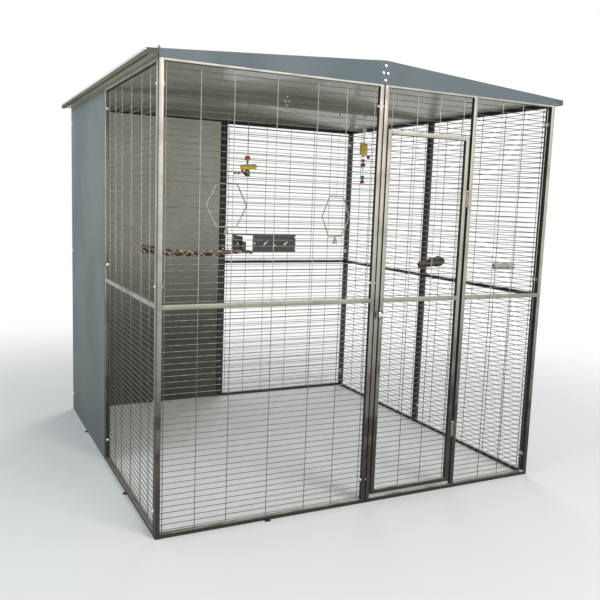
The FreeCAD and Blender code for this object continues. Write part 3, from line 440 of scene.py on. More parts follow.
DARK_WOOD = Timber("dark_branch", (0.16, 0.13, 0.1), 0.8, (0.02, 0.016, 0.013), 1.0, 70.0)
VINE = Timber("vine_bark", (0.13, 0.078, 0.047), 0.8, (0.02, 0.012, 0.007), 0.9, 62.0)
VINE_PALE = Timber("vine_peeled", (0.78, 0.63, 0.47), 0.7, (0.24, 0.15, 0.09), 0.7, 36.0)
GREY_WOOD = Timber("grey_perch", (0.5, 0.49, 0.45), 0.6, (0.34, 0.33, 0.3))
BOWL = Moulded("bowl_dark", (0.06, 0.065, 0.07), 0.35, (0.1, 0.1, 0.1))
WHITE = Moulded("white_cap", (0.9, 0.9, 0.87), 0.4, (0.7, 0.7, 0.67))
MOUNT = Moulded("mount_white", (0.62, 0.62, 0.6), 0.4, (0.5, 0.5, 0.48))
RED = Moulded("red_bead", (0.7, 0.02, 0.05), 0.3, (0.42, 0.02, 0.03))
YELLOW = Moulded("yellow_block", (0.98, 0.74, 0.04), 0.35, (0.8, 0.56, 0.03))
GREEN = Moulded("green_bead", (0.02, 0.2, 0.09), 0.35, (0.01, 0.1, 0.05))
BLACK = Moulded("black_bead", (0.02, 0.02, 0.025), 0.35, (0.05, 0.05, 0.05))


# Meshes


def as_object(name: str, data: bpy.types.ID) -> bpy.types.Object:
    """Links a mesh, a curve, a lamp or a camera into the scene as an object.

    Args:
        name: the object's name.
        data: what it shows.

    Returns:
        The object, at the origin.
    """
    made = bpy.data.objects.new(name, data)
    bpy.context.scene.collection.objects.link(made)
    return made


def shaded(mesh: bpy.types.Mesh, smooth: float) -> None:
    """Shades a mesh smooth; edges sharper than this angle, in degrees, stay sharp."""
    mesh.shade_smooth()
    mesh.set_sharp_from_angle(angle=math.radians(smooth))


def seat(piece: bpy.types.Object, finish: Finish, body: Body, slot: str, *nodes: str) -> None:
    """Gives a piece its finish, its body and the nodes that it stands for.

    Args:
        piece: the plain mesh object.
        finish: its finish.
        body: the body that it rides on.
        slot: the slot's name; not used.
        nodes: the nodes that it stands for.
    """
    piece.data.materials.clear()
    piece.data.materials.append(finish.material())
    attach(piece, body.value)
    if nodes:
        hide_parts(*nodes)
    LOG.info("%s: %d faces on %s", piece.name, len(piece.data.polygons), body.value)


class Shape:
    """A mesh in the making: turned solids, blocks, beads and lofts that share a finish."""

    def __init__(self, name: str, smooth: float = 40.0) -> None:
        """Starts an empty mesh.

        Args:
            name: the object's name.
            smooth: edges sharper than this angle, in degrees, stay sharp.
        """
        self.name = name
        self.smooth = smooth
        self.bm = bmesh.new()

    def ring(self, spots: Iterable[Vector]) -> list[bmesh.types.BMVert]:
        """New vertices at these points."""
        return [self.bm.verts.new(spot) for spot in spots]

    def loft(self, rings: Sequence[Sequence[bmesh.types.BMVert]], closed: bool = True,
             capped: bool = False) -> "Shape":
        """Adds the faces from each ring to the next.

        Args:
            rings: rings of the same number of vertices.
            closed: whether each ring's end joins its start.
            capped: whether the first and the last ring get a face.

        Returns:
            The shape itself.
        """
        for near, far in zip(rings, rings[1:]):
            for k in range(len(near) if closed else len(near) - 1):
                after = (k + 1) % len(near)
                self.bm.faces.new((near[k], near[after], far[after], far[k]))
        if capped:
            self.bm.faces.new(rings[0])
            self.bm.faces.new(rings[-1])
        return self

    def lathe(self, profile: Profile, base: Sequence[float] = (0, 0, 0), axis: Vector = Z,
              sides: int = 24) -> "Shape":
        """Adds a turned solid.

        Args:
            profile: radius and height of each ring; a radius of 0 closes an end.
            base: where height 0 is.
            axis: the direction of height.
            sides: faces round it.

        Returns:
            The shape itself.
        """
        frame = axis.to_track_quat("Z", "Y").to_matrix()
        rings = []
        for radius, height in profile:
            angles = [math.tau * k / sides for k in range(sides)] if radius else [0.0]
            rings.append(self.ring(Vector(base) + frame @ Vector(
                (radius * math.cos(angle), radius * math.sin(angle), height))
                for angle in angles))
        for near, far in zip(rings, rings[1:]):
            for k in range(sides):
                after = (k + 1) % sides
                corners = list(dict.fromkeys((near[k % len(near)], near[after % len(near)],
                                              far[after % len(far)], far[k % len(far)])))
                if len(corners) > 2:
                    self.bm.faces.new(corners)
        return self

    def slab(self, low: Sequence[float], high: Sequence[float], bevel: float,
             steps: int = 2) -> "Shape":
        """Adds a block with rounded edges between two corners.

        Args:
            low: its lowest corner.
            high: its highest corner.
            bevel: how far its edges are cut.
            steps: faces across each edge.

        Returns:
            The shape itself.
        """
        corners = bmesh.ops.create_cube(self.bm, size=1.0)["verts"]
        middle = (Vector(low) + Vector(high)) / 2
        span = Vector(high) - Vector(low)
        for vert in corners:
            vert.co = middle + Vector(a * b for a, b in zip(vert.co, span))
        edges = list(dict.fromkeys(edge for vert in corners for edge in vert.link_edges))
        bmesh.ops.bevel(self.bm, geom=corners + edges, offset=bevel, segments=steps,
                        affect="EDGES", profile=0.5)
        return self

    def bead(self, centre: Vector, radius: float, axis: Vector = Z) -> "Shape":
        """Adds a round bead with a bore.

        Args:
            centre: its middle.
            radius: half its width.
            axis: the direction of the bore.

        Returns:
            The shape itself.
        """
        angles = [math.pi * (k / 12 - 0.5) for k in range(1, 12)]
        profile = [(radius * 0.16, -radius * 0.9),
                   *((radius * math.cos(angle), radius * math.sin(angle)) for angle in angles),
                   (radius * 0.16, radius * 0.9)]
        return self.lathe(profile + profile[:1], centre, axis, 28)

    def finished(self, outward: bool = True) -> bpy.types.Object:
        """The object, at the origin, with its normals worked out if outward.

        Args:
            outward: whether the faces are turned outwards.

        Returns:
            A plain mesh object.
        """
        if outward:
            bmesh.ops.recalc_face_normals(self.bm, faces=self.bm.faces)
        mesh = bpy.data.meshes.new(self.name)
        self.bm.to_mesh(mesh)
        self.bm.free()
        shaded(mesh, self.smooth)
        return as_object(self.name, mesh)

    def seat(self, finish: Finish, body: Body, slot: str, *nodes: str) -> None:
        """Finishes the mesh and seats it."""
        seat(self.finished(), finish, body, slot, *nodes)


def box_of(node: str) -> tuple[Vector, Vector]:
    """The lowest and highest corners of a CAD node."""
    low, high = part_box(node)
    return Vector(low), Vector(high)


def solids_of(node: str) -> list[tuple[Vector, Vector]]:
    """The boxes of a CAD node's separate solids, lowest and highest corner of each.

    Args:
        node: the node's name.

    Returns:
        One pair of corners for each solid.
    """
    bm = bmesh.new()
    bm.from_mesh(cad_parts[node].data)
    bmesh.ops.remove_doubles(bm, verts=bm.verts, dist=1e-6)
    seen: set[int] = set()
    boxes = []
    for start in bm.verts:
        if start.index in seen:
            continue
        seen.add(start.index)
        heap = [start]
        low, high = start.co.copy(), start.co.copy()
        while heap:
            vert = heap.pop()
            for k in range(3):
                low[k] = min(low[k], vert.co[k])
                high[k] = max(high[k], vert.co[k])
            for edge in vert.link_edges:
                other = edge.other_vert(vert)
                if other.index not in seen:
                    seen.add(other.index)
                    heap.append(other)
        boxes.append((low, high))
    bm.free()
    return boxes


# Geometry trees for what repeats


class RuleTree:
    """A geometry tree with named inputs."""

    def __init__(self, name: str, **inputs: str) -> None:
        """Starts a tree.

        Args:
            name: the tree's name.
            inputs: the socket type of each input between the geometry and the finish.
        """
        self.tree = bpy.data.node_groups.new(name, "GeometryNodeTree")
        face = self.tree.interface
        face.new_socket("Geometry", in_out="INPUT", socket_type="NodeSocketGeometry")
        self.names = {
            label: face.new_socket(label, in_out="INPUT",
                                   socket_type="NodeSocket" + kind).identifier
            for label, kind in {**inputs, "Finish": "Material"}.items()}
        face.new_socket("Geometry", in_out="OUTPUT", socket_type="NodeSocketGeometry")
        self.work = NodeWork(self.tree)
        self.start = self.work.node("NodeGroupInput")

    def reach(self) -> tuple[Sock, Sock]:
        """Each point's `reach`, and the rotation that turns +Z along it."""
        reach = self.work.node("GeometryNodeInputNamedAttribute", {"Name": "reach"},
                               data_type="FLOAT_VECTOR")
        return reach, self.work.node("FunctionNodeAlignRotationToVector", {"Vector": reach},
                                     axis="Z")

    def end(self, geometry: Sock) -> "RuleTree":
        """Realizes the result and sets its finish.

        Args:
            geometry: the result.

        Returns:
            The rule itself.
        """
        real = self.work.node("GeometryNodeRealizeInstances", {"Geometry": geometry})
        dressed = self.work.node("GeometryNodeSetMaterial",
                                 {"Geometry": real, "Material": self.start.out("Finish")})
        self.work.node("NodeGroupOutput", {"Geometry": dressed})
        return self

    def run(self, piece: bpy.types.Object, finish: Finish, **values: Any) -> bpy.types.Object:
        """Runs the tree on an object and returns the plain result.

        Args:
            piece: the object with the points or the path.
            finish: the finish of the result.
            values: the other inputs.

        Returns:
            A plain mesh object of the same name.
        """
        modifier = piece.modifiers.new("Rule", "NODES")
        modifier.node_group = self.tree
        for label, value in {**values, "Finish": finish.material()}.items():
            modifier[self.names[label]] = value
        graph = bpy.context.evaluated_depsgraph_get()
        graph.update()
        mesh = bpy.data.meshes.new_from_object(piece.evaluated_get(graph))
        name = piece.name
        bpy.data.objects.remove(piece)
        mesh.name = name
        shaded(mesh, 40.0)
        return as_object(name, mesh)


def bars_tree() -> RuleTree:
    """Round bars, one from each point along its `reach`.

    Returns:
        The rule.
    """
    rule = RuleTree("RoundBars", Radius="Float", Sides="Int")
    work, start = rule.work, rule.start
    reach, turned = rule.reach()
    bar = work.node("GeometryNodeMeshCylinder", {"Vertices": start.out("Sides"),
                                                 "Radius": start.out("Radius"), "Depth": 1.0})
    lifted = work.node("GeometryNodeTransform",
                       {"Geometry": bar, "Translation": (0.0, 0.0, 0.5)})
    scale = work.node("ShaderNodeCombineXYZ",
                      {"X": 1.0, "Y": 1.0, "Z": work.vectors("LENGTH", reach)})
    return rule.end(work.node("GeometryNodeInstanceOnPoints", {
        "Points": start.out("Geometry"), "Instance": lifted, "Rotation": turned,
        "Scale": scale}))


def copies_tree() -> RuleTree:
    """A copy of one pattern at each point, facing along its `reach`, with a random turn.

    Returns:
        The rule.
    """
    rule = RuleTree("CopiesOnPoints", Pattern="Object", Turn="Float", Seed="Int")
    work, start = rule.work, rule.start
    turned = rule.reach()[1]
    pattern = work.node("GeometryNodeObjectInfo", {"Object": start.out("Pattern")},
                        transform_space="ORIGINAL").out("Geometry")
    angle = work.node("FunctionNodeRandomValue", {
        "Min": 0.0, "Max": start.out("Turn"), "Seed": start.out("Seed")}, data_type="FLOAT")
    spin = work.node("FunctionNodeAxisAngleToRotation",
                     {"Axis": (0.0, 0.0, 1.0), "Angle": angle})
    both = work.node("FunctionNodeRotateRotation", {"Rotation": turned, "Rotate By": spin},
                     rotation_space="LOCAL")
    return rule.end(work.node("GeometryNodeInstanceOnPoints", {
        "Points": start.out("Geometry"), "Instance": pattern, "Rotation": both}))


def strands_tree() -> RuleTree:
    """Strands wound round a path, which taper and swell.

    Returns:
        The rule.
    """
    rule = RuleTree("WoundStrands", Strands="Int", Steps="Int", Turns="Float", Radius="Float",
                    Spread="Float", Taper="Float", Swelling="Float", Sides="Int")
    work, start = rule.work, rule.start
    line = work.node("GeometryNodeResampleCurve", {
        "Curve": start.out("Geometry"), "Count": start.out("Steps")}, mode="COUNT")
    twins = work.node("GeometryNodeDuplicateElements", {
        "Geometry": line, "Amount": start.out("Strands")}, domain="SPLINE")
    index = twins.out("Duplicate Index")
    share = work.node("GeometryNodeSplineParameter").out("Factor")
    normal = work.node("GeometryNodeInputNormal")
    aside = work.vectors("CROSS_PRODUCT", work.node("GeometryNodeInputTangent"), normal)
    angle = (share * start.out("Turns") + index / start.out("Strands")) * math.tau
    thin = 1.0 - share * start.out("Taper")
    away = start.out("Spread") * thin
    one, two = (work.node("ShaderNodeVectorMath", {
        "Vector": way, "Scale": work.maths(wave, angle) * away}, operation="SCALE")
        for way, wave in ((normal, "COSINE"), (aside, "SINE")))
    moved = work.node("GeometryNodeSetPosition", {
        "Geometry": twins, "Offset": work.vectors("ADD", one, two)})
    spot = work.node("ShaderNodeCombineXYZ", {"X": share * 14.0, "Y": index * 7.3})
    swell = work.noise(spot, 1.0, 2.0) - 0.5
    profile = work.node("GeometryNodeCurvePrimitiveCircle", {
        "Resolution": start.out("Sides"), "Radius": start.out("Radius")}, mode="RADIUS")
    return rule.end(work.node("GeometryNodeCurveToMesh", {
        "Curve": moved, "Profile Curve": profile, "Fill Caps": True,
        "Scale": thin * (1.0 + start.out("Swelling") * swell)}))


BARS = bars_tree()
COPIES = copies_tree()
STRANDS = strands_tree()


def points(name: str, spots: Spots) -> bpy.types.Object:
    """Points for a rule: where each one is, and its `reach`.

    Args:
        name: the object's name.
        spots: place and reach of each point.

    Returns:
        An object of loose points.
    """
    rows = list(spots)
    mesh = bpy.data.meshes.new(name)
    mesh.from_pydata([spot for spot, _ in rows], [], [])
    reach = mesh.attributes.new("reach", "FLOAT_VECTOR", "POINT")
    reach.data.foreach_set("vector", [value for _, way in rows for value in way])
    return as_object(name, mesh)


def copied(name: str, pattern: Shape, spots: Spots, finish: Finish, *nodes: str) -> None:
    """Seats copies of a pattern on the cabin as one piece; the pattern is thrown away.

    Args:
        name: the piece's name.
        pattern: the shape that is copied.
        spots: foot and direction of each copy.
        finish: the finish of all.
        nodes: the nodes that they stand for.
    """
    model = pattern.finished()
    seat(COPIES.run(points(name, spots), finish, Pattern=model, Turn=math.tau, Seed=3), finish,
         Body.CABIN, "bolt", *nodes)
    bpy.data.objects.remove(model)


def wound(name: str, line: Sequence[Sequence[float]], finish: Finish, body: Body, slot: str,
          *nodes: str, curved: bool = False, **rule: float) -> None:
    """Seats strands that are wound round a path.

    Args:
        name: the piece's name.
        line: the points of the path.
        finish: the finish of the strands.
        body: the body that they ride on.
        slot: the slot's name.
        nodes: the nodes that they stand for.
        curved: whether the path is a smooth curve near the points.
        rule: inputs of the rule; those left out give one straight, even strand.
    """
    curve = bpy.data.curves.new(name, "CURVE")
    curve.dimensions = "3D"
    spline = curve.splines.new("NURBS" if curved else "POLY")
    spline.points.add(len(line) - 1)
    for point, spot in zip(spline.points, line):
        point.co = (*spot, 1.0)
    if curved:
        spline.order_u = 3
        spline.use_endpoint_u = True
    values = {"Strands": 1, "Turns": 0.0, "Spread": 0.0, "Taper": 0.0, "Swelling": 0.0,
              "Sides": 8, **rule}
    seat(STRANDS.run(as_object(name, curve), finish, **values), finish, body, slot, *nodes)


# The tube frames


@dataclass
class TubeFrame:
    """A welded frame of square tube: stiles over its whole height, rails between them."""

    node: str
    body: Body = Body.CABIN
    tube: float = 0.02
    wall: float = 0.0015
    corner: float = 0.0022
    bore_corner: float = 0.0008
    stiles: Sequence[float] = (0.0, -0.02)
    rails: Sequence[tuple[float, float, float]] = ()
    steps: int = 3
    # How strongly upward faces, and forward faces of the left wall, are painted lit.
    up_painted_light: float = 0.85
    side_painted_light: float = 0.5

    def ring(self, low: Vector, high: Vector, axis: int, corner: float,
             end: float) -> list[Vector]:
        """The points of one rounded ring between two corners, at one end of a tube.

        Args:
            low: the lowest corner.
            high: the highest corner.
            axis: the tube's direction.
            corner: the radius of its corners.
            end: where the ring is along the axis.

        Returns:
            The points, in order round the ring.
        """
        across = [k for k in range(3) if k != axis]
        ring = []
        for quarter, signs in enumerate(((1, 1), (-1, 1), (-1, -1), (1, -1))):
            for step in range(self.steps + 1):
                angle = (quarter + step / self.steps) * math.pi / 2
                spot = Vector()
                spot[axis] = end
                for k, sign, part in zip(across, signs, (math.cos(angle), math.sin(angle))):
                    edge = high[k] - corner if sign > 0 else low[k] + corner
                    spot[k] = edge + corner * part
                ring.append(spot)
        return ring

    def add_tube(self, shape: Shape, low: Vector, high: Vector, axis: int,
                 shift: Vector) -> None:
        """Adds one hollow tube with rounded corners and its grain.

        Args:
            shape: the mesh that it goes into.
            low: its lowest corner.
            high: its highest corner.
            axis: its direction.
            shift: where its grain starts.
        """
        grain = shape.bm.verts.layers.float_vector["grain"]
        wall = Vector((self.wall,) * 3)
        skin, bore = (low, high, self.corner), (low + wall, high - wall, self.bore_corner)
        rings = []
        for (near, far, corner), end in ((skin, low), (skin, high), (bore, high), (bore, low)):
            rings.append(shape.ring(self.ring(near, far, axis, corner, end[axis])))
            for vert in rings[-1]:
                across = [vert.co[k] for k in range(3) if k != axis]
                vert[grain] = Vector((vert.co[axis], *across)) + shift
        shape.loft(rings + rings[:1])

    def mark_painted_light(self, bm: bmesh.types.BMesh) -> None:
        """Marks each face's painted light: how far it looks outwards, up and, on the left wall,
        forwards; and how far it looks up alone.

        Args:
            bm: the mesh of the frame.
        """
        outer = bm.faces.layers.float.new("outer")
        upward = bm.faces.layers.float.new("upward")
        wall = self.node.split("_")[0]
        out = {"back": Y, "left": -X, "right": X}.get(wall, -Y)
        side = self.side_painted_light if wall == "left" else 0.0
        bmesh.ops.recalc_face_normals(bm, faces=bm.faces)
        bm.normal_update()
        for face in bm.faces:
            up = max(0.0, face.normal.z)
            # Painted light: the share of light each face is drawn with, by the way it faces.
            looks = (max(0.0, face.normal.dot(out)) + self.up_painted_light * up
                     - side * min(0.0, face.normal.y))
            face[outer] = min(1.0, looks)
            face[upward] = up

    def build(self) -> None:
        """Builds and seats the frame."""
        low, high = box_of(self.node)
        size = high - low
        axis = 0 if size.x > size.y else 1
        width, height = size[axis], size.z
        step = (height - self.tube) / 2
        spans = self.rails or [(k * step, self.tube, width - self.tube) for k in range(3)]
        shape = Shape(self.node + "_tubes", 35.0)
        shape.bm.verts.layers.float_vector.new("grain")
        draw = random.Random(self.node)
        rows = [(2, place if place >= 0 else width + place, 0.0, height)
                for place in self.stiles]
        rows += [(axis, near, rise, far - near) for rise, near, far in spans]
        for way, start, rise, long in rows:
            foot = low.copy()
            foot[axis] += start
            foot.z += rise
            head = foot + Vector((self.tube,) * 3)
            head[way] = foot[way] + long
            shift = Vector([draw.uniform(0, 9) for _ in range(3)])
            self.add_tube(shape, foot, head, way, shift)
        self.mark_painted_light(shape.bm)
        shape.seat(TUBE, self.body, "tube", self.node)


@dataclass
class WallFrames:
    """All tube frames, the door's leaf and the stop bar behind it."""

    full: Sequence[str] = ("front_left", "right_front", "right_back", "back_right", "back_left",
                           "left_back", "left_front")
    tube: float = 0.02
    post: float = 0.4925
    bay_end: float = 0.9775
    top: float = 1.895
    leaf_end: float = 0.4325
    leaf_rails: Sequence[float] = (0.0, 0.9105, 1.66)
    stop: Sequence[Point] = ((0.0145, -0.995, 1.697), (0.503, -0.991, 1.717))

    def build(self) -> None:
        """Builds every frame."""
        for name in self.full:
            TubeFrame(name + "_frame").build()
        door_bay = [(rise, self.tube, self.post) for rise in (0.0, self.top)]
        fixed_bay = [(rise, self.post + self.tube, self.bay_end)
                     for rise in (0.0, self.top / 2, self.top)]
        TubeFrame("front_right_frame", stiles=(0.0, self.post, -self.tube),
                  rails=door_bay + fixed_bay).build()
        # No light marks: the bar takes the tube's painted shade all over.
        bar = Shape("stop_bar").slab(*self.stop, 0.0006)
        bar.bm.verts.layers.float_vector.new("grain")
        bar.seat(TUBE, Body.CABIN, "tube")
        TubeFrame("door_frame", Body.DOOR, rails=[
            (rise, self.tube, self.leaf_end) for rise in self.leaf_rails]).build()


# The welded mesh


@dataclass
class WeldedMesh:
    """Round wires in place of the square ones of a panel."""

    panels: Sequence[str] = ("front_left", "front_right", "right_front", "right_back",
                             "back_right", "left_front", "door")
    lit: Sequence[str] = ("front", "door", "left")
    radius: float = 0.0016
    sides: int = 8

    def build(self) -> None:
        """Builds the wires of each panel; the uprights of the lit walls are painted bright, the
        other wires painted in shade.
        """
        for panel in self.panels:
            node = panel + "_mesh"
            body = Body.DOOR if panel == "door" else Body.CABIN
            level, upright = [], []
            for low, high in solids_of(node):
                size = high - low
                axis = max(range(3), key=size.__getitem__)
                start, reach = (low + high) / 2, Vector()
                start[axis], reach[axis] = low[axis], size[axis]
                (upright if axis == 2 else level).append((start, reach))
            # Painted light: bright uprights on the walls listed as lit, shaded wires elsewhere.
            bright = PAINTED_LIT_WIRE if panel.split("_")[0] in self.lit else WIRE
            for part, rows, finish, nodes in (("_level_wires", level, WIRE, (node,)),
                                              ("_uprights", upright, bright, ())):
                wires = BARS.run(points(node + part, rows), finish, Radius=self.radius,
                                 Sides=self.sides)
                seat(wires, finish, body, "wire", *nodes)


# Sheets, gables and roof


@dataclass
class Cladding:
    """The finish of each piece whose CAD shape stays."""

    finishes: Sequence[tuple[Finish, Sequence[str]]] = (
        (OUTER_SKIN, ("back_left_outer_sheet", "left_back_outer_sheet")),
        (INNER_SKIN, ("back_left_inner_sheet", "left_back_inner_sheet")),
        (GABLE, ("front_fascia", "back_fascia", "mid_truss")),
        (ROOF, ("roof_left_panel", "roof_right_panel")), (RIDGE, ("ridge_cap",)),
        (KNUCKLE, ("hinge_post_halves", "hinge_door_halves")),
        (LATCH, ("latch_keeper", "latch_guide")),
        (FEEDER, ("feeder_frame", "feeder_left_door", "feeder_middle_door",
                  "feeder_right_door")),
        (HINGE, ("corner_tabs", "swing_eyes")), (TAB, ("ground_tabs",)))

    def build(self) -> None:
        """Gives each node its finish."""
        for finish, nodes in self.finishes:
            for node in nodes:
                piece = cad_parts[node]
                if not piece.material_slots:
                    piece.data.materials.append(finish.material())
                for slot in piece.material_slots:
                    slot.material = finish.material()
                LOG.info("%s: %s", node, finish.name)


@dataclass
class RoofEdges:
    """The edge channels of the roof: a pale lip over a recessed web painted dark as shade, and an
    end stud.
    """

    lip: Profile = (
        (1.0345, 1.9362), (1.0498, 1.9352), (1.0522, 1.9345), (1.0528, 1.9334),
        (1.0528, 1.9262), (1.052, 1.925), (1.0507, 1.925), (1.0502, 1.9257), (1.0486, 1.9257),
        (1.0486, 1.9338), (1.0345, 1.9347))
    web: Profile = (
        (1.0486, 1.9256), (1.0497, 1.9256), (1.0497, 1.9108), (1.0488, 1.9101),
        (1.0345, 1.9111), (1.0345, 1.9125), (1.0486, 1.9116))
    stud: Profile = ((0, 0), (0.0058, 0), (0.0058, 0.0045), (0.003, 0.005), (0.003, 0.011),
                     (0.0022, 0.012), (0, 0.012))
    stud_foot: Point = (-0.998, -1.006, 1.9375)

    def build(self) -> None:
        """Folds both channels along their edges, and adds the stud."""
        for side, node in ((-1, "roof_left_edge"), (1, "roof_right_edge")):
            low, high = box_of(node)
            for part, section, finish, nodes in (("_lip", self.lip, ROOF_EDGE, (node,)),
                                                 ("_web", self.web, ROOF_WEB_SHADE, ())):
                strip = Shape(node + part, 25.0)
                strip.loft([strip.ring(Vector((side * x, y, z)) for x, z in section)
                            for y in (low.y, high.y)], capped=True)
                strip.seat(finish, Body.CABIN, "roof_edge", *nodes)
        stud = Shape("roof_corner_stud").lathe(self.stud, self.stud_foot, sides=12)
        stud.seat(LATCH, Body.CABIN, "bolt")


# Bolts and nuts


def dome(radius: float, tall: float = 0.004) -> Shape:
    """A washer under a dome head with a socket."""
    return Shape("dome").lathe(
        [(0, 0), (radius, 0), (radius, 0.0008), (radius * 0.8, 0.0011),
         (radius * 0.8, tall * 0.45), (radius * 0.7, tall * 0.75), (radius * 0.45, tall * 0.97),
         (radius * 0.34, tall), (radius * 0.3, tall * 0.55), (0, tall * 0.5)], sides=18)


@dataclass
class Fasteners:
    """Dome heads, nuts and spacers in place of the plain ones."""

    head: float = 0.007
    gable_head: float = 0.006
    panel_face: float = 0.999
    side_wall: float = 0.9
    hinge: tuple[float, float] = (0.488, -1.011)
    washer: Profile = ((0, 0), (0.007, 0), (0.007, 0.0012), (0, 0.0012))
    nut: Profile = ((0, 0.0012), (0.0058, 0.0012), (0.0058, 0.0052), (0.0052, 0.0058),
                    (0, 0.0058))
    thread: Profile = ((0, 0.0058), (0.003, 0.0058), (0.003, 0.0076), (0.0024, 0.008),
                       (0, 0.008))
    spacer: Profile = ((0, -0.0025), (0.0066, -0.0025), (0.0066, 0.0025), (0, 0.0025))
    collar: Profile = ((0, 0), (0.0088, 0), (0.0095, 0.0007), (0.0095, 0.0038),
                       (0.0088, 0.0045), (0, 0.0045))
    cap: Profile = ((0, 0), (0.0062, 0), (0.0058, 0.0022), (0.0036, 0.0044), (0, 0.0052))

    def seam(self, middle: Vector) -> Vector:
        """Away from the gap between two panels."""
        if abs(middle.x) > self.side_wall:
            return Vector((0, 1 if middle.y > MIDDLE_Y else -1, 0))
        return Vector((1 if middle.x > 0 else -1, 0, 0))

    def gable(self, middle: Vector) -> Vector:
        """Away from the plate that it holds."""
        return Vector((0, 1 if middle.y > self.side_wall else -1, 0))

    def corner(self, middle: Vector) -> Vector:
        """Outwards for a head on the tube, inwards for a nut."""
        out = 1 if middle.x > 0 else -1
        return Vector((out if abs(middle.x) > 1 else -out, 0, 0))

    def spots(self, node: str, facing: Callable[[Vector], Vector]) -> Spots:
        """Foot and direction of each solid of a node, which faces away from its support.

        Args:
            node: the node's name.
            facing: gives the direction from a solid's middle.

        Returns:
            A pair for each solid.
        """
        rows = []
        for low, high in solids_of(node):
            middle = (low + high) / 2
            way = facing(middle)
            reach = abs((high - low).dot(way))
            rows.append((middle - way * (reach / 2), way))
        return rows

    def hinge_ends(self, node: str, body: Body, way: int) -> None:
        """Builds the dark collar and the bright cap at the outer end of each half.

        Args:
            node: the node with the halves.
            body: the body that they ride on.
            way: 1 for the upper end, -1 for the lower one.
        """
        collars, caps = Shape(node + "_collars"), Shape(node + "_caps")
        for low, high in solids_of(node):
            end = high.z if way > 0 else low.z
            up = Vector((0, 0, way))
            base = Vector((*self.hinge, end - way * 0.0025))
            collars.lathe(self.collar, base, up, 20)
            caps.lathe(self.cap, base + up * 0.0044, up, 16)
        collars.seat(LATCH, body, "hinge")
        caps.seat(BOLT, body, "hinge")

    def build(self) -> None:
        """Builds and seats all of them."""
        copied("seam_bolt_heads", dome(self.head), self.spots("seam_bolts", self.seam), BOLT,
               "seam_bolts")
        copied("gable_bolt_heads", dome(self.gable_head),
               self.spots("gable_bolts", self.gable), BOLT, "gable_bolts")
        rows = self.spots("corner_bolts", self.corner)
        heads = [row for row in rows if abs(row[0].x) > self.panel_face]
        copied("corner_bolt_heads", dome(self.head), heads, BOLT, "corner_bolts")
        nut = Shape("nut").lathe(self.washer, sides=18).lathe(self.nut, sides=6)
        nuts = [row for row in rows if row not in heads]
        copied("corner_bolt_nuts", nut.lathe(self.thread, sides=12), nuts, BOLT)
        middles = [(low + high) / 2 for low, high in solids_of("seam_spacers")]
        copied("seam_spacer_rings", Shape("spacer").lathe(self.spacer, sides=16),
               [(middle, Y if abs(middle.x) > self.side_wall else X) for middle in middles],
               HINGE, "seam_spacers")
        self.hinge_ends("hinge_post_halves", Body.CABIN, -1)
        self.hinge_ends("hinge_door_halves", Body.DOOR, 1)


# The latch


@dataclass
class SlideLatch:
    """The flat bolt with its knob."""

    plate: float = 0.003
    knob_x: float = 0.0318
    knob: float = 0.007
    grip: float = 0.005
    stem: float = 0.003

    def build(self) -> None:
        """Builds the bolt plate, its stem and the turned knob."""
        low, high = box_of("latch_bolt")
        bolt = Shape("flat_bolt_with_knob")
        bolt.slab((low.x, high.y - self.plate, low.z), high, 0.0007)
        base = Vector((self.knob_x, high.y - self.plate + 0.0001, (low.z + high.z) / 2))
        reach = base.y - low.y
        head = reach - self.grip
        bolt.lathe([(0, 0), (self.stem, 0), (self.stem, head), (self.knob * 0.85, head),
                    (self.knob, head + 0.0008), (self.knob, reach - 0.0012),
                    (self.knob * 0.8, reach), (0, reach)], base, FORTH, 28)
        bolt.seat(BOLT, Body.LATCH, "latch", "latch_bolt")


# The feeder


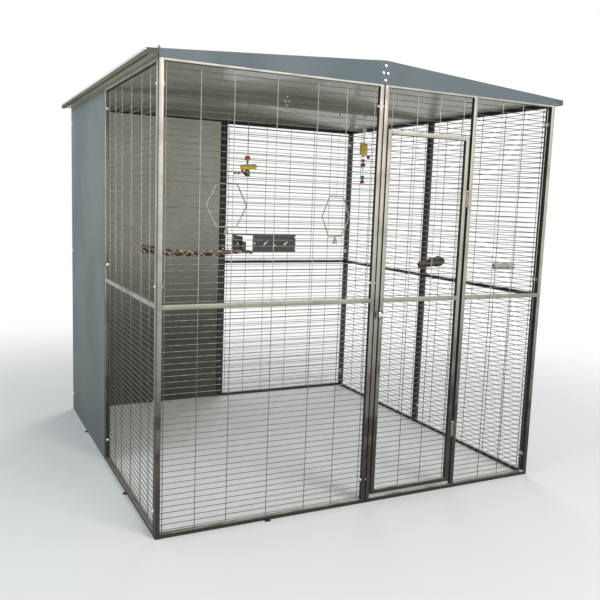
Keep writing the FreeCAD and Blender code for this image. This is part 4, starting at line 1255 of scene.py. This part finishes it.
@dataclass
class FeederCup:
    """A half-round bowl and a wing nut behind a feeder door."""

    name: str
    body: Body
    turn: float
    pin: Point
    radius: float = 0.052
    tall: float = 0.056
    wall: float = 0.0015
    rise: float = 0.012
    middle: float = 0.0743667
    plate: float = 0.002
    steps: int = 24
    nut_height: float = 0.0542
    nut: Profile = ((0, 0), (0.01, 0), (0.0088, 0.004), (0.006, 0.0078), (0, 0.0086))
    wing: Profile = ((0.003, 0.001), (0.012, 0.0032), (0.0195, 0.0086), (0.019, 0.0118),
                     (0.0115, 0.0106), (0.0025, 0.0055))
    wing_half: float = 0.0034
    wing_turn: float = 40.0

    def bowl(self, place: Matrix) -> None:
        """Builds the bowl.

        Args:
            place: where the feeder door's pin is and how it is turned.
        """
        inner = self.radius - self.wall
        section = ((0.0, 0.0), (self.radius - 0.004, 0.0), (self.radius, 0.004),
                   (self.radius, self.tall - 0.001), (self.radius - 0.0004, self.tall),
                   (inner, self.tall - 0.0004), (inner, 0.005),
                   (self.radius - 0.006, self.wall), (0.0, self.wall))
        angles = [math.pi * (1 + k / self.steps) for k in range(self.steps + 1)]
        bowl = Shape("feeder_%s_bowl" % self.name)
        rings = [bowl.ring(place @ Vector((radius * math.cos(angle) - self.middle,
                                           radius * math.sin(angle) - self.plate,
                                           self.rise + height)) for angle in angles)
                 for radius, height in section]
        bowl.loft(rings, closed=False)
        for side in (0, -1):
            bowl.bm.faces.new([ring[side] for ring in rings])
        bmesh.ops.remove_doubles(bowl.bm, verts=bowl.bm.verts, dist=1e-6)
        bowl.seat(BOWL, self.body, "cup", "feeder_%s_cup" % self.name)

    def wing_nut(self, place: Matrix) -> None:
        """Builds the wing nut.

        Args:
            place: where the feeder door's pin is and how it is turned.
        """
        nut = Shape("feeder_%s_wing_nut" % self.name)
        middle = Vector((-self.middle, 0.0, self.nut_height))
        nut.lathe(self.nut, middle, Y, 20)
        tilt = Matrix.Rotation(math.radians(self.wing_turn), 3, "Y")
        for side in (1, -1):
            nut.loft([nut.ring(middle + tilt @ Vector((side * x, y, z)) for x, y in self.wing)
                      for z in (self.wing_half, -self.wing_half)], capped=True)
        bmesh.ops.transform(nut.bm, matrix=place, verts=nut.bm.verts)
        nut.seat(NUT, self.body, "bolt")

    def build(self) -> None:
        """Builds the bowl and the wing nut."""
        place = (Matrix.Translation(self.pin)
                 @ Matrix.Rotation(math.radians(self.turn), 4, "Z"))
        self.bowl(place)
        self.wing_nut(place)


@dataclass
class Feeder:
    """The cups of the three bays, and the screws of the frame."""

    left: float = 0.07
    bar: float = 0.008
    bay: float = 0.472 / 3
    play: float = 0.0003
    deep: float = 0.941
    low: float = 1.0358
    bays: Sequence[tuple[str, Body, float]] = (
        ("left", Body.FEEDER_LEFT, 90), ("middle", Body.FEEDER_MIDDLE, 180),
        ("right", Body.FEEDER_RIGHT, 180))
    screws: Sequence[tuple[int, float]] = ((0, 0.1), (1, 0.06), (2, 0.045), (3, 0.025),
                                           (3, 0.105))

    def build(self) -> None:
        """Builds the cup of each bay and the screws."""
        for count, (name, body, turn) in enumerate(self.bays):
            pin = (self.left + self.bar + count * self.bay + self.play, self.deep, self.low)
            FeederCup(name, body, turn, pin).build()
        copied("feeder_screws", dome(0.0058, 0.0038), [
            (Vector((self.left + self.bar / 2 + count * self.bay, self.deep,
                     self.low - self.bar + rise)), FORTH)
            for count, rise in self.screws], NUT)


# Perches


@dataclass
class VinePerch:
    """A bent stem with thinner ones wound round it."""

    long: float = 0.53
    foot: Point = (-0.976, -0.66, 1.1625)
    stem: Sequence[Point] = ((0, 0, 0), (0.05, 0, 0), (0.12, 0.004, -0.012),
                             (0.26, -0.008, -0.03), (0.4, 0.006, -0.034),
                             (0.54, 0.012, -0.038), (0.68, 0, -0.03), (0.82, 0.014, -0.022),
                             (0.92, 0.03, -0.02), (1, 0.046, -0.03))
    bundles: Sequence[tuple[Any, ...]] = (
        ("stem", VINE, 1.0, 3, 150, 7.0, 0.0066, 0.0078, 0.42, 0.5, 10),
        ("twigs", VINE_PALE, 0.96, 1, 190, 10.5, 0.0036, 0.0126, 0.4, 1.1, 8),
        ("cross_twig", VINE_PALE, 0.9, 1, 190, -6.4, 0.0032, 0.0138, 0.4, 1.2, 8),
        ("third_twig", VINE_PALE, 0.95, 1, 190, 4.3, 0.0034, 0.0122, 0.4, 1.2, 8),
        ("dark_twigs", VINE, 0.93, 2, 170, -5.2, 0.003, 0.0142, 0.4, 0.8, 7),
        ("binding", VINE, 0.27, 2, 80, 3.0, 0.0042, 0.0175, 0.35, 0.6, 8),
        ("pale_binding", VINE_PALE, 0.2, 1, 60, 2.6, 0.0036, 0.0165, 0.3, 0.6, 8))

    def build(self) -> None:
        """Builds each bundle of strands along its share of the stem."""
        for name, finish, share, *values in self.bundles:
            line = [Vector(self.foot) + Vector(spot) * self.long for spot in self.stem
                    if spot[0] <= share]
            nodes = ("vine_perch",) if name == "stem" else ()
            wound("vine_" + name, line, finish, Body.CABIN, "vine", *nodes, curved=True,
                  **dict(zip(STRANDS.names, values)))


@dataclass
class StubPerches:
    """The knobby branch, the pale round perch and what clamps them."""

    knobs: Sequence[Point] = ((0, 0, 0.6), (0.04, 0, 0.86), (0.08, 0, 0.97),
                              (0.14, -0.003, 1.03), (0.2, -0.008, 1.02), (0.27, -0.016, 0.94),
                              (0.34, -0.025, 0.85), (0.4, -0.033, 0.88), (0.46, -0.042, 0.93),
                              (0.54, -0.055, 0.86), (0.62, -0.068, 0.78), (0.7, -0.08, 0.82),
                              (0.78, -0.092, 0.8), (0.84, -0.102, 0.74), (0.9, -0.11, 0.7),
                              (0.96, -0.12, 0.62), (1, -0.125, 0.42))
    bark: Sequence[Point] = ((0.17, 9, 2.2), (0.13, 26, 7), (0.05, 70, 16))
    knobby_height: float = 1.0625
    knobby_radius: float = 0.03
    knobby_sides: int = 48
    mount: Profile = ((0, 0), (0.0165, 0), (0.0178, 0.004), (0.0182, 0.011), (0.0172, 0.019),
                      (0.0145, 0.025), (0.0112, 0.028), (0, 0.028))
    cap: Profile = ((0, 0), (0.009, 0), (0.0125, 0.003), (0.0135, 0.0075), (0.012, 0.012),
                    (0.0075, 0.015), (0, 0.016))
    pale_before: float = -0.5
    washer_over: float = 0.012
    nut_over: float = 0.008

    def thickness(self, along: float, way: Vector) -> float:
        """The share of its radius that the branch has at a place along and round it."""
        return 0.95 + sum(depth * noise.noise(Vector((along * far, way.y * wide, way.z * wide)))
                          for depth, far, wide in self.bark)

    def knobby(self) -> None:
        """Builds the dark branch, with lumps and hollows."""
        low, high = box_of("knobby_perch")
        foot = Vector((high.x, (low.y + high.y) / 2, self.knobby_height))
        long = high.x - low.x
        rows = [[a + (b - a) * part for a, b in zip(near, far)]
                for near, far in zip(self.knobs, self.knobs[1:])
                for part in (0.0, 0.25, 0.5, 0.75)]
        angles = [math.tau * k / self.knobby_sides for k in range(self.knobby_sides)]
        ways = [Vector((0, math.cos(angle), math.sin(angle))) for angle in angles]
        branch = Shape("knobby_branch", 60.0)
        branch.loft([branch.ring(
            foot + Vector((-along, 0, down)) * long
            + way * (self.knobby_radius * thick * self.thickness(along, way)) for way in ways)
            for along, down, thick in (*rows, self.knobs[-1])], capped=True)
        branch.seat(DARK_WOOD, Body.CABIN, "dark_wood", "knobby_perch")

    def pale(self) -> None:
        """Builds the pale perch with rounded ends, and the mount at its wall end."""
        low, high = box_of("pale_perch")
        base = (low + high) / 2
        base.x = high.x
        radius = (high.z - low.z) / 2 - 0.0001
        long = high.x - low.x
        inward = Vector((-1, 0, 0))
        Shape("pale_round_perch").lathe(
            [(0, 0), (radius * 0.92, 0), (radius, 0.0015), (radius * 0.985, long * 0.3),
             (radius * 0.99, long * 0.7), (radius, long - 0.004),
             (radius * 0.93, long - 0.001), (radius * 0.8, long), (0, long)],
            base, inward, 40).seat(GREY_WOOD, Body.CABIN, "pale_wood", "pale_perch")
        Shape("pale_perch_mount").lathe(self.mount, base, inward, 36).seat(
            MOUNT, Body.CABIN, "bolt")

    def clamps(self) -> None:
        """Builds washers, studs and nuts: white at the pale perch, steel at the others."""
        white, steel = Shape("pale_perch_clamp"), Shape("perch_clamps")
        for low, high in solids_of("perch_fixings"):
            middle = (low + high) / 2
            pale = middle.y < self.pale_before and middle.x > 0
            thick, wide = high.x - low.x, (high.y - low.y) / 2
            out = 1 if middle.x > 0 else -1
            if wide > self.washer_over:
                sides, profile = 32, [(0, 0), (wide * 0.9, 0), (wide, thick * 0.25),
                                      (wide, thick * 0.75), (wide * 0.94, thick), (0, thick)]
            elif thick > self.nut_over and pale:
                sides, profile = 28, self.cap
            elif thick > self.nut_over:
                sides, profile = 6, [(0, 0), (0.0085, 0), (0.007, 0.004), (0.005, thick),
                                     (0, thick)]
            else:
                sides, profile = 16, [(0, 0), (wide, 0), (wide, thick), (0, thick)]
            base = middle - Vector((out * thick / 2, 0, 0))
            (white if pale else steel).lathe(profile, base, Vector((out, 0, 0)), sides)
        steel.seat(KNUCKLE, Body.CABIN, "bolt", "perch_fixings")
        white.seat(WHITE, Body.CABIN, "bolt")

    def build(self) -> None:
        """Builds all of them."""
        self.knobby()
        self.pale()
        self.clamps()


@dataclass
class SmallParts:
    """A wire clip on the two middle stiles of the back wall."""

    left: float = -0.042
    right: float = 0.039
    low: float = 1.016
    high: float = 1.078
    wire_y: float = 0.9585
    hook: float = 0.012
    back: float = 0.965
    bolt: Profile = ((0, 0), (0.0062, 0), (0.0058, 0.002), (0.004, 0.0036), (0, 0.004))

    def build(self) -> None:
        """Builds the clip's wire, its block and its bolt."""
        line = [(x, self.wire_y, z) for x, z in (
            (self.left + self.hook, self.low), (self.left, self.low), (self.left, self.high),
            (self.right, self.high), (self.right, self.low), (self.right - self.hook, self.low))]
        wound("clip_wire", line, HINGE, Body.CABIN, "hinge", Steps=120, Radius=0.0016)
        block = Shape("clip_block").slab((-0.018, 0.9525, 1.03), (0.018, self.back, 1.066),
                                         0.002)
        for rise in (self.low + 0.006, self.high - 0.006):
            block.slab((-0.021, 0.9595, rise - 0.003), (0.021, self.back, rise + 0.003), 0.001)
        block.seat(BLACK, Body.CABIN, "latch")
        Shape("clip_bolt").lathe(self.bolt, (0.0, 0.9526, 1.048), FORTH, 20).seat(
            BOLT, Body.CABIN, "bolt")


# Swings and toys


@dataclass
class Hanger:
    """A shackle on its pin and the twisted wire under it."""

    name: str
    body: Body
    x: float
    top: float
    shackle: Profile = ((-0.0035, 0.0), (-0.0035, -0.012), (0.0, -0.017), (0.0035, -0.012),
                        (0.0035, 0.0))
    pin: Profile = ((0, 0), (0.0015, 0), (0.0015, 0.009), (0, 0.009))
    wire_drop: float = 0.0155
    pitch: float = 0.014
    step: float = 0.0022

    def build(self) -> None:
        """Builds the shackle, its pin and the wire."""
        hoop = [(self.x + aside, MIDDLE_Y, EYE_Z + up) for aside, up in self.shackle]
        wound(self.name + "_shackle", hoop, HANGER, self.body, "hanger",
              self.name + "_hanger", curved=True, Steps=24, Radius=0.001)
        Shape(self.name + "_pin").lathe(
            self.pin, (self.x - 0.0045, MIDDLE_Y, EYE_Z), X, 16).seat(
                HANGER, self.body, "hanger")
        start = EYE_Z - self.wire_drop
        long = start - self.top
        wound(self.name + "_twist", [(self.x, MIDDLE_Y, z) for z in (start, self.top)], HANGER,
              self.body, "hanger", Strands=2, Steps=max(12, int(long / self.step)),
              Turns=long / self.pitch, Radius=0.00055, Spread=0.0006, Sides=5)


@dataclass
class RingSwing:
    """A six-sided swing of sticks, with a wound tassel under it."""

    name: str
    body: Body
    x: float
    top: float
    turn: float
    side: float = 0.135
    stick: float = 0.004
    gap: float = 0.0026
    bulges: int = 12
    tassel: float = 0.0375
    corner: Profile = ((0, -0.0035), (0.0028, -0.0028), (0.0034, 0.0), (0.0028, 0.0028),
                       (0, 0.0035))
    knot: Profile = ((0, 0), (0.0058, 0.001), (0.0066, 0.004), (0.0058, 0.007), (0, 0.008))

    def build(self) -> None:
        """Builds hanger, sticks, corner knots and tassel."""
        Hanger(self.name, self.body, self.x, self.top).build()
        apothem = self.side * math.sqrt(3) / 2
        middle = Vector((self.x, MIDDLE_Y, self.top - self.stick - apothem))
        place = Matrix.Translation(middle) @ Matrix.Rotation(math.radians(self.turn), 4, "Z")
        angles = [math.radians(60 * k) for k in range(6)]
        corners = [place @ Vector((self.side * math.cos(angle), 0,
                                   self.side * math.sin(angle))) for angle in angles]
        sticks = Shape(self.name + "_sticks", 50.0)
        draw = random.Random(self.name)
        for near, far in zip(corners, corners[1:] + corners[:1]):
            long = (far - near).length
            body = [(self.stick * (0.93 + 0.07 * draw.random()),
                     self.gap + (long - 2 * self.gap) * (part / self.bulges))
                    for part in range(self.bulges + 1)]
            sticks.lathe([(0, self.gap), *body, (0, long - self.gap)], near,
                         (far - near).normalized(), 14)
        sticks.seat(PALE_WOOD, self.body, "pale_wood", self.name + "_ring")
        knots = Shape(self.name + "_corner_knots", 60.0)
        for corner in corners:
            knots.lathe(self.corner, corner, (corner - middle).normalized(), 14)
        knots.seat(PALE_WOOD, self.body, "pale_wood")
        foot = middle.z - apothem - self.stick
        line = [(self.x, MIDDLE_Y, foot + 0.001), (self.x, MIDDLE_Y, foot - self.tassel)]
        wound(self.name + "_tassel", line, PALE_WOOD, self.body, "pale_wood", Strands=7,
              Steps=30, Turns=0.35, Radius=0.0014, Spread=0.0042, Taper=-1.7, Swelling=0.4)
        Shape(self.name + "_tassel_knot").lathe(
            self.knot, (self.x, MIDDLE_Y, foot - 0.0135), sides=20).seat(
                HANGER, self.body, "pale_wood")


@dataclass
class Toy:
    """A string of beads and blocks; its places are measured from the foot of its hanger."""

    name: str
    body: Body
    x: float
    top: float

    def at(self, spot: Point) -> Vector:
        """A place on the toy."""
        return Vector((self.x, MIDDLE_Y, self.top)) + Vector(spot)

    def part(self, name: str, finish: Finish, *nodes: str, beads: Sequence[tuple[Any, ...]] = (),
             blocks: Sequence[tuple[Any, ...]] = (), turned: Sequence[tuple[Any, ...]] = (),
             smooth: float = 50.0) -> None:
        """Builds all that has one finish.

        Args:
            name: the last word of the piece's name.
            finish: its finish.
            nodes: the nodes that it stands for.
            beads: place, radius and, if it isn't upright, axis of each bead.
            blocks: two corners, the bevel and, if it isn't 2, its steps, of each block.
            turned: profile, place, axis and sides of each turned solid.
            smooth: edges sharper than this angle, in degrees, stay sharp.
        """
        shape = Shape(self.name + "_" + name, smooth)
        for low, high, *bevel in blocks:
            shape.slab(self.at(low), self.at(high), *bevel)
        for spot, *size in beads:
            shape.bead(self.at(spot), *size)
        for profile, spot, axis, sides in turned:
            shape.lathe(profile, self.at(spot), axis, sides)
        shape.seat(finish, self.body, "toy", *nodes)

    def string(self, name: str, *line: Point) -> None:
        """A twisted string between places on the toy."""
        wound(self.name + "_" + name, [self.at(spot) for spot in line], WHITE, self.body,
              "hanger", Strands=3, Steps=24, Turns=2.0, Radius=0.0007, Spread=0.0006, Sides=5)


def left_toy() -> None:
    """Red bead, yellow roll, and the bits under it."""
    toy = Toy("toy_left", Body.TOY_LEFT, -0.228, 1.631)
    Hanger(toy.name, toy.body, toy.x, toy.top - 0.001).build()
    arm = [(-0.042 - 0.0105 * k, 0, -0.1005) for k in range(4)]
    roll = [(0.003, -0.0375), (0.0125, -0.0375), (0.0148, -0.0355), (0.0152, 0),
            (0.0148, 0.0495), (0.0125, 0.0515), (0.003, 0.0515), (0.003, -0.0375)]
    toy.part("red", RED, "toy_left_beads", beads=[((0, 0, -0.016), 0.0158),
                                                  ((-0.03, -0.004, -0.088), 0.0085)])
    toy.part("yellow", YELLOW, turned=[(roll, (0, 0, -0.064),
                                        Vector((1, 0, 0.1)).normalized(), 32)])
    toy.string("string", (0, 0, -0.031), (0, 0, -0.078))
    toy.part("black", BLACK, smooth=40.0,
             blocks=[((-0.011, -0.011, -0.115), (0.011, 0.011, -0.0795), 0.003)],
             beads=[((-0.0195, -0.002, -0.098), 0.0075), *((spot, 0.0054, X)
                                                           for spot in arm[1::2])])
    toy.part("green", GREEN, beads=[((0, 0, -0.041), 0.0065)],
             blocks=[((-0.006, -0.0125, -0.11), (0.0125, -0.004, -0.092), 0.0025)])
    toy.part("pearls", WHITE, beads=[*((spot, 0.0058, X) for spot in arm[::2]),
                                     ((-0.005, -0.012, -0.0055), 0.0045)])
    toy.string("arm", (-0.011, 0, -0.1015), (-0.0735, 0, -0.1005))


def right_toy() -> None:
    """Clip, yellow block, beads and a bell."""
    toy = Toy("toy_right", Body.TOY_RIGHT, 0.51, 1.83)
    Hanger(toy.name, toy.body, toy.x, toy.top - 0.001).build()
    toy.string("string", (0, 0, -0.023), (0, 0, -0.303))
    drops = [(0.0285 + 0.0092 * k, 0.0044) for k in range(7)]
    drops += [(0.162, 0.008), (0.216, 0.0065), (0.227, 0.0055), (0.237, 0.005)]
    toy.part("white", WHITE, "toy_right_beads",
             blocks=[((-0.0115, -0.0055, -0.0238), (0.0115, 0.0055, -0.0003), 0.0025)],
             beads=[((0, 0, -drop), radius) for drop, radius in drops])
    toy.part("yellow", YELLOW, smooth=40.0, blocks=[
        ((-0.0215, -0.0115, -0.1525), (0.0215, 0.0115, -0.0885), 0.004, 3)])
    bell = [(0, 0), (0.0138, 0), (0.0132, 0.004), (0.0105, 0.014), (0.006, 0.021), (0, 0.0225)]
    toy.part("red", RED, beads=[((0, 0, -0.1885), 0.0115), ((0.034, 0, -0.166), 0.0105)],
             turned=[(bell, (0, 0, -0.3205), Z, 28)])
    toy.string("arm", (0.012, 0, -0.149), (0.029, 0, -0.16))
    toy.part("black", BLACK, smooth=40.0, blocks=[
        ((-0.0112, -0.0112, -0.2195), (0.0112, 0.0112, -0.202), 0.003)])
    toy.part("green", GREEN, beads=[((0, 0, -0.2865), 0.0125)])


# Studio


@dataclass
class Studio:
    """Floor, lamps, world and camera."""

    eye: Point = (-1.7517, FRONT_Y - 2.7397, 1.3872)
    heading: float = 26.639
    pitch: float = -7.718
    roll: float = 2.04
    focal: float = 722.3
    frame: int = 600
    sensor: float = 36.0
    lamps: Sequence[tuple[str, Point, Point, float, Colour]] = (
        ("key", (1.6, -6.4, 4.4), (0, 0, 0.9), 270.0, (1.0, 0.98, 0.94)),
        ("side", (-6.0, -1.5, 3.6), (0, 0, 1.0), 120.0, (0.82, 0.9, 1.0)),
        ("back", (3.5, 5.4, 4.2), (0, 0, 1.2), 150.0, (1.0, 1.0, 1.0)))
    lamp_size: float = 3.0

    def seen(self, work: NodeWork) -> Sock:
        """1 on rays that show the background: from the camera, a gloss or through glass."""
        rays = work.node("ShaderNodeLightPath")
        return (rays.out("Is Camera Ray") + rays.out("Is Glossy Ray")
                + rays.out("Is Transmission Ray")).clipped()

    def world(self) -> None:
        """A soft sky that shows white."""
        world = bpy.data.worlds.new("Studio")
        work = NodeWork.on(world)
        light, shown = (
            work.node("ShaderNodeBackground", {"Color": (*colour, 1.0), "Strength": strength})
            for colour, strength in (((0.95, 0.98, 1.0), 0.6), ((1.0, 1.0, 1.0), 1.0)))
        mixed = work.node("ShaderNodeMixShader", {0: self.seen(work), 1: light, 2: shown})
        work.node("ShaderNodeOutputWorld", {"Surface": mixed})
        bpy.context.scene.world = world

    def floor(self) -> None:
        """A plain pale floor."""
        plane = Shape("floor")
        bmesh.ops.create_grid(plane.bm, x_segments=1, y_segments=1, size=40.0)
        floor = plane.finished(outward=False)
        made = bpy.data.materials.new("pale_floor")
        work = NodeWork.on(made)
        seen = self.seen(work)
        away = work.vectors("LENGTH", work.place())
        matt = work.node("ShaderNodeBsdfDiffuse",
                         {"Color": work.mix(seen, (0.55, 0.55, 0.53), (0.8, 0.8, 0.79))})
        white = work.node("ShaderNodeEmission", {"Strength": 1.0})
        mixed = work.node("ShaderNodeMixShader",
                          {0: seen * away.step(1.8, 4.6), 1: matt, 2: white})
        work.node("ShaderNodeOutputMaterial", {"Surface": mixed})
        floor.data.materials.append(made)

    def lamp(self, name: str, spot: Point, aim: Point, watts: float, colour: Colour) -> None:
        """A square soft lamp that faces a point.

        Args:
            name: its name.
            spot: where it is.
            aim: the point that it faces.
            watts: its power.
            colour: its colour.
        """
        light = bpy.data.lights.new(name, "AREA")
        light.shape = "SQUARE"
        light.size = self.lamp_size
        light.energy = watts
        light.color = colour
        made = as_object(name, light)
        made.location = spot
        made.rotation_euler = (Vector(aim) - Vector(spot)).to_track_quat("-Z", "Y").to_euler()

    def camera(self) -> None:
        """The camera at the photograph's place."""
        lens = bpy.data.cameras.new("Camera")
        lens.sensor_width = self.sensor
        lens.lens = self.focal / self.frame * self.sensor
        lens.clip_end = 200.0
        made = as_object("Camera", lens)
        heading, pitch, roll = map(math.radians, (self.heading, self.pitch, self.roll))
        ahead = Vector((math.sin(heading) * math.cos(pitch), math.cos(heading) * math.cos(pitch),
                        math.sin(pitch)))
        right = Vector((math.cos(heading), -math.sin(heading), 0.0))
        up = right.cross(ahead)
        right, up = (right * math.cos(roll) + up * math.sin(roll),
                     up * math.cos(roll) - right * math.sin(roll))
        turned = Matrix((right, up, -ahead)).transposed().to_4x4()
        made.matrix_world = Matrix.Translation(self.eye) @ turned
        bpy.context.scene.camera = made

    def build(self) -> None:
        """Sets the studio up."""
        bpy.context.scene.view_settings.view_transform = "Standard"
        self.world()
        self.floor()
        for lamp in self.lamps:
            self.lamp(*lamp)
        self.camera()


def main() -> None:
    """Builds the object in its studio."""
    logging.basicConfig(level=logging.INFO, format="%(message)s")
    for group in (Studio, Cladding, RoofEdges, WallFrames, WeldedMesh, Fasteners, SlideLatch,
                  Feeder, VinePerch, StubPerches, SmallParts):
        group().build()
    RingSwing("swing_left", Body.SWING_LEFT, -0.343, 1.476, 15).build()
    RingSwing("swing_right", Body.SWING_RIGHT, 0.341, 1.431, 25).build()
    left_toy()
    right_toy()


if __name__ == "__main__":
    main()
